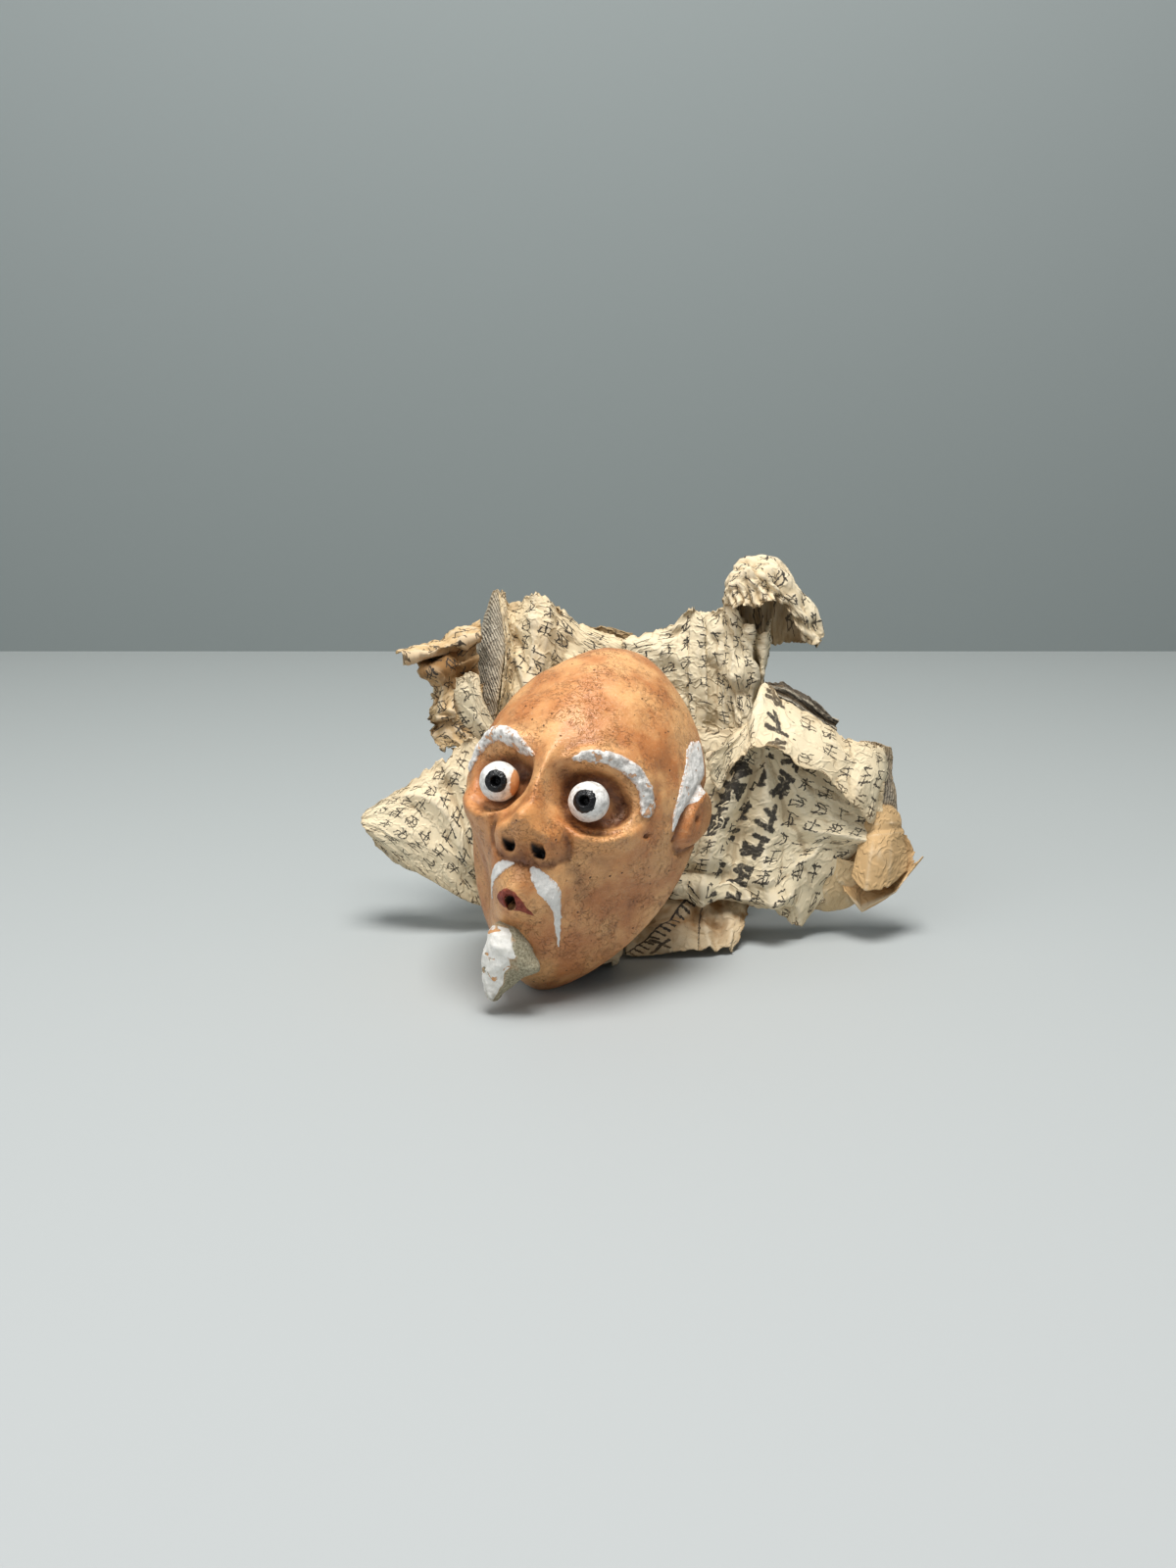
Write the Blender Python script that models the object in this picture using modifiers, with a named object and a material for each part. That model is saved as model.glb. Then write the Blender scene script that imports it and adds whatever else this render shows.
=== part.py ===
"""Hand puppet: a painted clay face shell carried on a wad of crumpled newsprint.

Metres, +Z up, with the floor at z = 0 and the face towards -Y. Left and right are those of
someone who looks at the face. The face is designed upright in a frame of its own (x across,
-y out of the face, z up, origin in the middle of the rim) and then leaned back into place.

What moves: the head turns on an upright finger tube, the tube nods in the wad's groove, and
the two paper sleeves lift like arms, each about an axis that runs from front to back.
"""

import math

import bmesh
import bpy
import numpy as np
from mathutils import Matrix, Vector, noise
from mathutils.bvhtree import BVHTree

MM = 0.001

# Face shell, in the face's own frame
FACE_UP = 28.0 * MM  # rim middle to crown
FACE_DOWN = 30.0 * MM  # rim middle to chin
FACE_HALF_WIDTH = 19.0 * MM
FACE_DEPTH = 26.0 * MM
SHELL_WALL = 2.0 * MM
FACE_CELLS = 30  # grid cells across the shell

# Size of the face that the relief, the strokes and the goatee are drawn for, in millimetres:
# half width, depth, rim middle to crown and rim middle to chin
DRAWN_HALF_WIDTH = 19.0
DRAWN_DEPTH = 26.0
DRAWN_UP = 28.0
DRAWN_DOWN = 30.0

# How the head lies
HEAD_YAW = math.radians(24.0)
HEAD_LEAN = math.radians(25.0)
HEAD_TILT = math.radians(18.0)
RIM_MIDDLE_X = -9.0 * MM
RIM_MIDDLE_Y = -4.45 * MM

# Places on the drawn face, in millimetres
EYE_X = 7.6
EYE_Z = -2.8
NOSTRIL_X = 2.4
NOSTRIL_Z = -6.2  # where its slanting bore meets the rim's plane
MOUTH_Z = -20.2

# Eye socket: how far its hollow reaches past the eyeball, in millimetres, and its turn in degrees
SOCKET_RISE = 0.7
SOCKET_SIDE_ROOM = 1.8
SOCKET_LID_ROOM = 1.2
SOCKET_BACK_ROOM = 1.4
SOCKET_TURN = -8.0

# Eyes, nostrils and mouth
EYE_SET_BACK = 1.1 * MM  # from the bare egg to the ball's middle
EYEBALL_RADIUS = 3.4 * MM
PUPIL_RECESS_RADIUS = 1.6 * MM
PUPIL_RECESS_DEPTH = 0.9 * MM
PUPIL_HOLE_RADIUS = 0.75 * MM
PUPIL_RING_THICKNESS = 0.5 * MM
NOSTRIL_SLANT = 12.4 * MM  # drop of the bore's axis over twice the face's depth
NOSTRIL_RADIUS = 0.8 * MM
MOUTH_RADIUS = 0.9 * MM

# Raised paste work on the shell
PASTE_THICKNESS = 0.7 * MM
PASTE_LIFT = 0.5 * MM  # between the paste and the faceted shell under it
STROKE_CELLS = 18  # grid cells along a stroke
LIP_HALF_WIDTH = 2.9 * MM
LIP_HALF_HEIGHT = 1.7 * MM

# Finger tube and its groove in the wad
TUBE_X = -10.0 * MM
TUBE_Y = -7.45 * MM
TUBE_RADIUS = 6.8 * MM
TUBE_WALL = 0.9 * MM
TUBE_BOTTOM = 3.0 * MM
TUBE_TOP = 35.0 * MM
NOD_HEIGHT = 8.0 * MM
GROOVE_CLEARANCE = 1.4 * MM

# Wad inside the shell, in the face's own frame
STUFFING_SIDE_ROOM = 4.2 * MM  # from the shell's inside, at each side
STUFFING_END_ROOM = 9.0 * MM  # from the shell's inside, at the top
STUFFING_FRONT_ROOM = 5.2 * MM  # from the shell's inside, in front
STUFFING_BACK = 4.8 * MM  # how far it stands out behind the rim
STUFFING_Z = 3.0 * MM
STUFFING_CREASE = 0.08

# Gaps
GAP = 0.3 * MM  # between pieces that touch
FLOOR_GAP = 0.1 * MM  # between the chin and the floor
SWEEP_GAP = 3.6 * MM  # between the turning rim and the paper behind it
WAD_SET_BACK = 2.0 * MM  # from the paper plane to the wad's front

# Newsprint
SHEET_THICKNESS = 0.8 * MM
SHEET_CELLS = 8
CREASE_HEIGHT = 0.5  # in millimetres, as the sheets' nets are
CREASES_PER_MM = 0.16
SEAT_WALL = 3.3 * MM  # beside the groove
SEAT_HEIGHT = 14.0 * MM
SEAT_FRONT = -8.45 * MM
SEAT_ROUND = 2.5 * MM
LUMP_LEFT = -25.0 * MM
LUMP_RIGHT = 20.0 * MM
LUMP_HEIGHT = 34.0 * MM
LUMP_DEPTH = 15.0 * MM
LUMP_ROUND = 4.0 * MM
LEFT_ARM_PIVOT = (-29.0 * MM, 22.0 * MM)  # x and z of the axis
RIGHT_ARM_PIVOT = (12.0 * MM, 24.0 * MM)

# Right side of the wad's low seat
SEAT_SIDE_X = TUBE_X + TUBE_RADIUS + GROOVE_CLEARANCE + SEAT_WALL

# The paper hangs behind the circle that the rim sweeps about the tube.
PAPER_PLANE_Y = TUBE_Y + FACE_HALF_WIDTH + SWEEP_GAP

CLAY = (0.60, 0.29, 0.12)
WHITE_PASTE = (0.80, 0.76, 0.70)
BLACK_GLOSS = (0.02, 0.02, 0.02)
LIP_RED = (0.32, 0.06, 0.04)
PLASTER = (0.45, 0.42, 0.30)
NEWSPRINT = (0.68, 0.60, 0.46)
INKED_NEWSPRINT = (0.20, 0.18, 0.15)
BROWN_PAPER = (0.45, 0.29, 0.13)
TAN_PAPER = (0.60, 0.44, 0.26)
CARD = (0.50, 0.38, 0.24)

# Relief of the face: x, z, half width, half height, turn in degrees, push out of the face,
# all but the turn in millimetres. A dab off the middle line is made on both sides.
FACE_DABS = (
    (0.0, 1.0, 1.8, 3.4, 0.0, 1.2),  # bridge of the nose
    (0.0, -4.5, 2.4, 3.6, 0.0, 2.2),
    (0.0, -9.6, 3.3, 2.9, 0.0, 3.8),  # tip of the nose
    (3.7, -11.0, 1.9, 1.8, 0.0, 2.2),  # nose wing
    (9.5, 3.9, 6.0, 1.7, -2.0, 1.3),  # brow ridge
    (9.6, -8.3, 5.4, 1.5, 6.0, 1.5),  # bag under the eye
    (14.0, -6.5, 3.4, 3.0, 0.0, 1.4),  # cheekbone
    (12.0, -16.0, 4.2, 5.0, 20.0, -2.2),  # hollow of the cheek
    (0.0, -19.6, 5.0, 4.3, 0.0, 2.8),  # muzzle
    (0.0, -26.2, 4.4, 3.0, 0.0, 1.4),  # chin
)

# Strokes of raised paste: x, z and half width along the middle of each, in millimetres
BROW_STROKE = ((4.1, 2.5, 0.5), (6.6, 3.8, 1.0), (9.4, 4.2, 1.3), (11.8, 3.9, 1.4), (13.6, 2.4, 1.1),
               (14.4, -1.8, 0.6))
MOUSTACHE_STROKE = ((2.2, -15.3, 0.5), (3.7, -15.9, 1.2), (5.4, -17.3, 1.5), (6.3, -19.6, 0.8),
                    (6.5, -23.6, 0.25))
SIDEBURN_STROKE = ((15.7, 14.4, 0.4), (16.7, 11.4, 0.7), (17.3, 8.2, 0.9), (17.5, 4.8, 0.8),
                   (17.4, -1.4, 0.4))

# Spine of the goatee in the face's frame: x, y, z and radius, in millimetres
GOATEE_SPINE = ((-1.4, -14.6, -22.8, 1.2), (-1.5, -15.2, -24.8, 2.9), (-1.3, -14.4, -27.6, 3.7),
                (-1.7, -13.2, -30.6, 2.7), (-2.1, -12.3, -33.2, 1.3), (-2.3, -11.9, -34.1, 0.6))

# Control points of the sheets, left to right and top to bottom, in millimetres: x, the depth
# behind the paper plane, and z; x counts from the seat's side for the bottom piece
SHEET_NETS = {
    "upper_left_panel": (
        ((-24.7, 6.5, 59.5), (-17.9, 6.5, 58.4), (-10.4, 7.5, 54.0), (-3.6, 8.5, 50.7)),
        ((-26.1, 5.0, 51.3), (-19.3, 4.5, 50.5), (-11.6, 5.5, 47.7), (-3.8, 6.5, 44.9)),
        ((-26.5, 3.5, 43.5), (-19.3, 3.0, 42.5), (-11.6, 3.5, 41.0), (-3.8, 4.5, 39.5)),
        ((-26.0, 2.8, 36.5), (-18.5, 2.3, 36.0), (-10.7, 2.6, 35.6), (-3.8, 3.2, 35.4)),
    ),
    "grey_strip": (
        ((-27.6, 10.5, 56.3), (-26.0, 8.5, 58.5)),
        ((-29.4, 9.5, 49.8), (-27.6, 7.0, 50.9)),
        ((-30.1, 8.0, 44.0), (-28.3, 5.5, 43.0)),
        ((-29.6, 6.5, 39.7), (-27.9, 5.0, 38.9)),
    ),
    "upper_right_panel": (
        ((-1.6, 8.5, 50.7), (4.1, 7.5, 53.1), (9.6, 6.5, 55.7), (14.6, 5.5, 56.5)),
        ((-1.4, 6.5, 44.9), (5.0, 5.5, 46.0), (10.4, 5.0, 47.8), (15.2, 5.5, 48.6)),
        ((-1.3, 4.5, 39.5), (5.0, 4.0, 39.8), (11.0, 4.0, 40.4), (15.8, 4.5, 41.0)),
        ((-1.3, 3.2, 35.4), (5.0, 2.8, 35.4), (11.0, 2.8, 35.4), (16.0, 3.4, 35.4)),
    ),
    "dark_fold": (
        ((23.4, 4.5, 43.0), (28.2, 5.5, 42.1), (33.8, 6.5, 37.9)),
        ((23.9, 3.9, 40.2), (28.7, 4.7, 37.9), (34.5, 5.5, 35.2)),
    ),
    "brown_lining": (
        ((-9.0, 11.5, 53.0), (-4.6, 12.5, 51.5), (-0.6, 12.5, 50.4)),
        ((-8.0, 10.5, 51.1), (-4.6, 11.0, 49.2), (-0.6, 11.5, 47.7)),
    ),
    "torn_wad": (
        ((-42.6, 3.5, 49.1), (-36.5, 4.5, 51.9), (-30.9, 5.5, 54.3)),
        ((-39.5, 1.5, 47.4), (-35.5, 2.5, 48.6), (-31.4, 4.5, 50.5)),
        ((-36.8, 3.5, 44.4), (-34.6, 1.5, 45.0), (-32.0, 3.5, 45.3)),
    ),
    "left_scraps": (
        ((-36.3, 4.5, 41.3), (-33.6, 3.5, 42.5), (-30.9, 3.5, 39.7)),
        ((-37.0, 3.0, 38.1), (-33.4, 2.0, 38.3), (-29.9, 3.0, 36.8)),
        ((-36.6, 3.5, 34.1), (-32.6, 2.5, 32.2), (-29.3, 2.5, 31.7)),
    ),
    "bottom_piece": (
        ((1.7, -8.0, 5.6), (6.3, -7.2, 7.2), (11.7, -6.4, 5.8), (17.1, -6.0, 4.4)),
        ((1.4, -13.5, 4.4), (5.9, -10.5, 4.8), (11.1, -9.8, 3.4), (16.4, -9.2, 2.8)),
        ((1.1, -18.5, 2.6), (5.4, -16.0, 1.3), (10.4, -15.4, 1.0), (14.6, -15.0, 0.9)),
    ),
    "left_sleeve": (
        ((-48.1, -1.5, 22.9), (-40.6, -1.5, 26.5), (-34.6, -0.5, 30.6), (-28.8, 0.0, 34.2)),
        ((-48.7, -2.5, 20.5), (-40.5, -3.5, 21.7), (-33.8, -2.5, 23.2), (-28.5, -1.5, 26.5)),
        ((-47.3, -3.5, 18.1), (-40.4, -5.5, 16.9), (-33.7, -4.5, 15.8), (-28.4, -2.5, 16.1)),
        ((-44.8, -2.5, 14.7), (-39.1, -3.5, 11.9), (-33.1, -3.5, 8.7), (-28.0, -2.5, 5.6)),
    ),
    "left_under_fold": (
        ((-45.9, 0.5, 16.2), (-41.5, -0.5, 13.5), (-35.7, 0.5, 9.9)),
        ((-46.0, 4.5, 11.9), (-41.8, 4.5, 9.7), (-36.9, 4.5, 8.4)),
    ),
    "right_sleeve": (
        ((14.6, -3.5, 31.6), (20.6, -1.5, 37.0), (27.5, -0.5, 36.4), (34.9, -0.5, 33.6), (41.0, -0.5, 31.6)),
        ((11.6, -5.5, 27.0), (18.8, -4.5, 31.0), (26.7, -4.5, 30.5), (35.0, -3.5, 28.6), (42.0, -1.5, 26.0)),
        ((9.9, -7.5, 21.0), (17.5, -8.5, 23.0), (25.9, -8.5, 23.0), (34.6, -6.5, 21.1), (40.8, -2.5, 20.0)),
        ((8.2, -8.5, 15.2), (16.2, -9.5, 13.7), (24.8, -8.5, 12.5), (31.8, -5.5, 13.0), (36.2, -2.5, 14.0)),
        ((8.6, -6.0, 10.4), (15.7, -7.0, 7.8), (23.5, -6.5, 4.6), (28.2, -5.5, 1.9), (32.6, -2.5, 8.2)),
    ),
    "right_flap": (
        ((21.2, -4.6, 41.1), (28.0, -4.1, 39.5), (34.9, -4.1, 36.4), (40.6, -4.1, 34.3)),
        ((19.3, -7.6, 37.4), (25.7, -7.6, 36.2), (32.9, -7.1, 33.1), (39.7, -5.6, 28.6)),
        ((17.9, -9.6, 34.0), (23.4, -10.6, 33.0), (30.2, -10.6, 29.6), (37.4, -8.6, 24.0)),
    ),
    "right_cuff": (
        ((36.6, -5.5, 9.4), (38.6, -7.5, 15.6), (43.6, -5.5, 20.0), (43.0, -0.5, 13.4), (39.5, 0.5, 7.6)),
        ((38.0, -6.5, 6.2), (40.8, -9.5, 13.4), (46.0, -5.5, 17.6), (44.9, 0.5, 10.2), (40.9, 0.5, 4.8)),
        ((39.3, -6.5, 3.6), (43.4, -10.0, 11.2), (48.4, -5.5, 14.5), (46.7, 0.5, 7.6), (42.3, 0.5, 2.4)),
    ),
}

# Spine of the gathered tuft: x, depth behind the paper plane, z and radius, in millimetres
TUFT_SPINE = ((19.8, 3.2, 37.0, 2.2), (18.9, 4.8, 44.4, 2.7), (18.7, 5.5, 51.5, 3.4), (19.3, 5.5, 58.0, 3.9),
              (23.0, 4.5, 60.8, 3.6), (27.0, 3.5, 57.6, 2.7), (29.0, 2.5, 53.0, 1.7))


def clear_scene():
    for existing in list(bpy.data.objects):
        bpy.data.objects.remove(existing, do_unlink=True)


def new_collection(name):
    made = bpy.data.collections.new(name)
    bpy.context.scene.collection.children.link(made)
    return made


def material(name, colour, roughness, metallic=0.0):
    made = bpy.data.materials.new(name)
    made.use_nodes = True
    shader = made.node_tree.nodes["Principled BSDF"]
    shader.inputs["Base Color"].default_value = (*colour, 1.0)
    shader.inputs["Roughness"].default_value = roughness
    shader.inputs["Metallic"].default_value = metallic
    return made


def piece(name, shape, finish=None, place=None):
    """A part made from a bmesh, with its finish; place is its matrix in the world."""
    mesh = bpy.data.meshes.new(name)
    shape.to_mesh(mesh)
    shape.free()
    mesh.shade_smooth()
    made = bpy.data.objects.new(name, mesh)
    PARTS.objects.link(made)
    made.matrix_world = place or Matrix()
    if finish:
        mesh.materials.append(finish)
    return made


def cutter(name, shape, place=None):
    """A guide that only cuts: it is left out of the object."""
    made = piece(name, shape, None, place)
    PARTS.objects.unlink(made)
    CUTTERS.objects.link(made)
    made.hide_render = True
    made.display_type = "WIRE"
    return made


def cut(target, tool):
    step = target.modifiers.new("Cut " + tool.name, "BOOLEAN")
    step.operation = "DIFFERENCE"
    step.solver = "EXACT"
    step.object = tool


def join(target, tool):
    step = target.modifiers.new("Join " + tool.name, "BOOLEAN")
    step.operation = "UNION"
    step.solver = "EXACT"
    step.object = tool


def wall_section(inner, outer, bottom, top):
    """The section of a round wall, in the x-z plane, ready to turn about z."""
    shape = bmesh.new()
    corners = ((outer, bottom), (inner, bottom), (inner, top), (outer, top))
    loop = [shape.verts.new((radius, 0, height)) for radius, height in corners]
    for start, end in zip(loop, loop[1:] + loop[:1]):
        shape.edges.new((start, end))
    return shape


def turn_round(target, steps):
    """Turns a wall's section about the object's own z axis."""
    turn = target.modifiers.new("Turn", "SCREW")
    turn.steps = turn.render_steps = steps
    turn.use_merge_vertices = True
    turn.merge_threshold = 0.05 * MM


def evaluated(source):
    """A bmesh of an object as its modifiers leave it, in its own frame."""
    bpy.context.view_layer.update()
    depsgraph = bpy.context.evaluated_depsgraph_get()
    mesh = bpy.data.meshes.new_from_object(source.evaluated_get(depsgraph))
    shape = bmesh.new()
    shape.from_mesh(mesh)
    bpy.data.meshes.remove(mesh)
    return shape


def pivot(name, place, parent=None):
    """An empty on a joint's axis, which carries the pieces that the joint moves."""
    made = bpy.data.objects.new(name, None)
    PARTS.objects.link(made)
    made.location = place
    bpy.context.view_layer.update()
    if parent:
        carry(parent, [made])
    return made


def carry(parent, pieces):
    bpy.context.view_layer.update()
    for child in pieces:
        child.parent = parent
        child.matrix_parent_inverse = parent.matrix_world.inverted()


def egg_section(rise):
    """Half width and depth of the bare egg at a share of its height, -1 at chin, 1 at crown."""
    half_width = FACE_HALF_WIDTH * (1 + 0.05 * rise - 0.12 * rise**2 - 0.2 * rise**4)
    return half_width, FACE_DEPTH * (1 - 0.08 * rise**2)


def egg(across, up):
    """The bare egg of the face at places in the unit disk, before any relief."""
    reach = np.maximum(np.hypot(across, up), 1e-9)
    polar = np.minimum(reach, 1.0) * math.pi / 2
    side = across / reach * np.sin(polar)
    rise = up / reach * np.sin(polar)
    half_width, depth = egg_section(rise)
    height = np.where(rise > 0, FACE_UP, FACE_DOWN) * rise
    return half_width * side, -depth * np.cos(polar), height


def relief(x, z):
    """How far the modelling stands out of the bare egg, for places seen from in front."""
    ball_size = EYEBALL_RADIUS / MM
    socket = (EYE_X, EYE_Z + SOCKET_RISE, ball_size + SOCKET_SIDE_ROOM, ball_size + SOCKET_LID_ROOM,
              SOCKET_TURN, -ball_size - SOCKET_BACK_ROOM)
    total = np.zeros_like(x)
    drawn_x = x / FACE_HALF_WIDTH * DRAWN_HALF_WIDTH
    drawn_z = np.where(z > 0, z / FACE_UP * DRAWN_UP, z / FACE_DOWN * DRAWN_DOWN)
    for dab_x, dab_z, half_width, half_height, turn, push in (*FACE_DABS, socket):
        for side in (1, -1) if dab_x else (1,):
            angle = math.radians(side * turn)
            dx = drawn_x - side * dab_x
            dz = drawn_z - dab_z
            along = (math.cos(angle) * dx + math.sin(angle) * dz) / half_width
            over = (math.cos(angle) * dz - math.sin(angle) * dx) / half_height
            total += push * MM * np.exp(-(along**2) - over**2)
    return total


def from_drawing(x, y, z):
    """A place of the drawn face, in millimetres, on the face as it is sized here."""
    rise = FACE_UP / DRAWN_UP if z > 0 else FACE_DOWN / DRAWN_DOWN
    return Vector((x * FACE_HALF_WIDTH / DRAWN_HALF_WIDTH, y * FACE_DEPTH / DRAWN_DEPTH, z * rise))


def eye_centre(side):
    """The middle of an eyeball; side is -1 for the left and 1 for the right."""
    seen = from_drawing(side * EYE_X, 0, EYE_Z)
    return egg_point(seen.x, seen.z) + Vector((0, EYE_SET_BACK, 0))


def face_surface(cells, lift=0.0):
    """The open outer surface of the face; lift moves it outwards all over."""
    shape = bmesh.new()
    bmesh.ops.create_grid(shape, x_segments=cells, y_segments=cells, size=1.0)
    flat = np.array([v.co[:2] for v in shape.verts])
    across = flat[:, 0] * np.sqrt(1 - flat[:, 1] ** 2 / 2)
    up = flat[:, 1] * np.sqrt(1 - flat[:, 0] ** 2 / 2)
    x, y, z = egg(across, up)
    y -= relief(x, z) * np.minimum(1.0, -y / (0.25 * FACE_DEPTH))
    for vert, place in zip(shape.verts, zip(x, y, z)):
        vert.co = place
    bmesh.ops.recalc_face_normals(shape, faces=shape.faces)
    if sum(f.normal.y * f.calc_area() for f in shape.faces) > 0:
        bmesh.ops.reverse_faces(shape, faces=shape.faces)
    if lift:
        shape.normal_update()
        moved = [v.co + v.normal * lift for v in shape.verts]
        for vert, place in zip(shape.verts, moved):
            vert.co = place
    return shape


def closed_face(lift):
    """The face as a solid that stands lift proud of the shell, to cut what lies on it."""
    shape = face_surface(FACE_CELLS, lift)
    edges = [e for e in shape.edges if e.is_boundary]
    bmesh.ops.contextual_create(shape, geom=edges)
    bmesh.ops.triangulate(shape, faces=[f for f in shape.faces if len(f.verts) > 4])
    return shape


def face_shell(finish):
    shell = piece("face_shell", face_surface(FACE_CELLS), finish)
    wall = shell.modifiers.new("Wall", "SOLIDIFY")
    wall.thickness = SHELL_WALL
    wall.offset = -1.0
    wall.use_even_offset = False
    for side, word in ((-1, "left"), (1, "right")):
        centre = eye_centre(side)
        cut(shell, cutter(f"{word}_socket", ball(EYEBALL_RADIUS + GAP, centre)))
        sight = rod(PUPIL_HOLE_RADIUS + GAP, centre, centre + Vector((0, FACE_DEPTH / 2, 0)))
        cut(shell, cutter(f"{word}_sight_hole", sight))
        nostril = from_drawing(side * NOSTRIL_X, 0, NOSTRIL_Z)
        slant = Vector((0, 2 * FACE_DEPTH, NOSTRIL_SLANT))
        cut(shell, cutter(f"{word}_nostril", rod(NOSTRIL_RADIUS, nostril - slant, nostril)))
    mouth = from_drawing(0, 0, MOUTH_Z)
    through = Vector((0, 2 * FACE_DEPTH, 0))
    cut(shell, cutter("mouth_hole", rod(MOUTH_RADIUS, mouth - through, mouth)))
    return shell


def ball(radius, centre):
    shape = bmesh.new()
    bmesh.ops.create_uvsphere(shape, u_segments=18, v_segments=11, radius=radius)
    bmesh.ops.translate(shape, verts=shape.verts, vec=centre)
    return shape


def rod(radius, start, end, segments=14):
    """A closed cylinder between two points."""
    shape = bmesh.new()
    axis = end - start
    bmesh.ops.create_cone(shape, cap_ends=True, segments=segments, radius1=radius,
                          radius2=radius, depth=axis.length)
    turn = axis.to_track_quat("Z", "Y").to_matrix().to_4x4()
    place = Matrix.Translation((start + end) / 2) @ turn
    bmesh.ops.transform(shape, verts=shape.verts, matrix=place)
    return shape


def eyeball(word, side, finish):
    """A ball with a stepped bore: a wide recess for the pupil ring and a fine hole right through."""
    centre = eye_centre(side)
    front = centre - Vector((0, EYEBALL_RADIUS, 0))
    made = piece(f"{word}_eyeball", ball(EYEBALL_RADIUS, centre), finish)
    recess = rod(PUPIL_RECESS_RADIUS, front - Vector((0, EYEBALL_RADIUS, 0)),
                 front + Vector((0, PUPIL_RECESS_DEPTH, 0)))
    cut(made, cutter(f"{word}_recess", recess))
    hole = rod(PUPIL_HOLE_RADIUS, front, centre + Vector((0, 2 * EYEBALL_RADIUS, 0)))
    cut(made, cutter(f"{word}_pupil_hole", hole))
    return made


def pupil_ring(word, side, finish):
    """A turned ring that lies in the eyeball's recess."""
    shape = wall_section(PUPIL_HOLE_RADIUS, PUPIL_RECESS_RADIUS - GAP, 0.0, PUPIL_RING_THICKNESS)
    floor = eye_centre(side) + Vector((0, PUPIL_RECESS_DEPTH - GAP - EYEBALL_RADIUS, 0))
    place = Matrix.Translation(floor) @ Matrix.Rotation(math.pi / 2, 4, "X")
    made = piece(f"{word}_pupil_ring", shape, finish, place)
    turn_round(made, 18)
    return made


def egg_point(x, z):
    """The point of the bare egg at a place seen from in front."""
    rise = z / (FACE_UP if z > 0 else FACE_DOWN)
    half_width, depth = egg_section(rise)
    forward = math.sqrt(max(0.0, 1 - rise**2 - (x / half_width) ** 2))
    return Vector((x, -depth * forward, z))


def catmull(points, share):
    """A point on the smooth curve through the given points, share from 0 to 1."""
    points = np.asarray(points, float)
    last = len(points) - 1
    span = min(int(share * last), last - 1)
    t = share * last - span
    before, start, end, after = (points[min(max(span + step, 0), last)] for step in (-1, 0, 1, 2))
    return 0.5 * (2 * start + (end - before) * t + (2 * before - 5 * start + 4 * end - after) * t**2
                  + (3 * start - before - 3 * end + after) * t**3)


def lay_on(shape, tree, lift):
    """Moves each vertex of a thin patch to just outside the shell."""
    for vert in shape.verts:
        place, normal, _, _ = tree.find_nearest(egg_point(vert.co.x, vert.co.z))
        vert.co = place + normal * lift


def paste_patch(name, shape, finish, tree):
    """A patch of paste on the shell, given its outline as a flat mesh in x and z."""
    lay_on(shape, tree, PASTE_LIFT)
    bmesh.ops.recalc_face_normals(shape, faces=shape.faces)
    if sum(f.normal.y * f.calc_area() for f in shape.faces) > 0:
        bmesh.ops.reverse_faces(shape, faces=shape.faces)
    made = piece(name, shape, finish)
    body = made.modifiers.new("Paste", "SOLIDIFY")
    body.thickness = PASTE_THICKNESS
    body.offset = 1.0
    return made


def stroke(name, path, side, finish, tree):
    """A brushed stroke of paste whose width varies along its path."""
    shape = bmesh.new()
    bmesh.ops.create_grid(shape, x_segments=STROKE_CELLS, y_segments=4, size=1.0)
    for vert in shape.verts:
        along = min(max((vert.co.x + 1) / 2, 0.0), 1.0)
        x, z, half_width = catmull(path, along)
        ahead = catmull(path, min(along + 0.02, 1.0))
        behind = catmull(path, max(along - 0.02, 0.0))
        run = Vector((ahead[0] - behind[0], ahead[1] - behind[1])).normalized()
        offset = vert.co.y * half_width
        vert.co = from_drawing(side * (x - run.y * offset), 0, z + run.x * offset)
    return paste_patch(name, shape, finish, tree)


def lips(finish, tree):
    """A ring of red paste around the mouth hole."""
    shape = bmesh.new()
    bmesh.ops.create_circle(shape, segments=20, radius=1.0)
    outer = list(shape.edges)
    ring = bmesh.ops.extrude_edge_only(shape, edges=outer)["geom"]
    inner = [v for v in ring if isinstance(v, bmesh.types.BMVert)]
    hole = MOUTH_RADIUS + GAP
    mouth = from_drawing(0, 0, MOUTH_Z)
    for vert in shape.verts:
        half_width, half_height = (hole, hole) if vert in inner else (LIP_HALF_WIDTH, LIP_HALF_HEIGHT)
        vert.co = mouth + Vector((vert.co.x * half_width, 0, vert.co.y * half_height))
    return paste_patch("lips", shape, finish, tree)


def spine_tube(name, spine, finish, points_between=2):
    """A closed tube that swells and thins along a smooth spine; each point carries its radius."""
    count = (len(spine) - 1) * points_between + 1
    curve = bpy.data.curves.new(name + "_spine", "CURVE")
    curve.dimensions = "3D"
    curve.bevel_depth = MM
    curve.bevel_resolution = 3
    curve.use_fill_caps = True
    spline = curve.splines.new("POLY")
    spline.points.add(count - 1)
    for number, point in enumerate(spline.points):
        x, y, z, radius = catmull(spine, number / (count - 1))
        point.co = (x * MM, y * MM, z * MM, 1.0)
        point.radius = radius
    guide = bpy.data.objects.new(name + "_spine", curve)
    PARTS.objects.link(guide)
    shape = evaluated(guide)
    bpy.data.objects.remove(guide)
    bmesh.ops.remove_doubles(shape, verts=shape.verts, dist=0.01 * MM)
    bmesh.ops.recalc_face_normals(shape, faces=shape.faces)
    return piece(name, shape, finish)


def goatee(finish):
    spine = [(*from_drawing(x, y, z) / MM, radius) for x, y, z, radius in GOATEE_SPINE]
    made = spine_tube("goatee", spine, finish)
    cut(made, cutter("chin_form", closed_face(GAP)))
    return made


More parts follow.
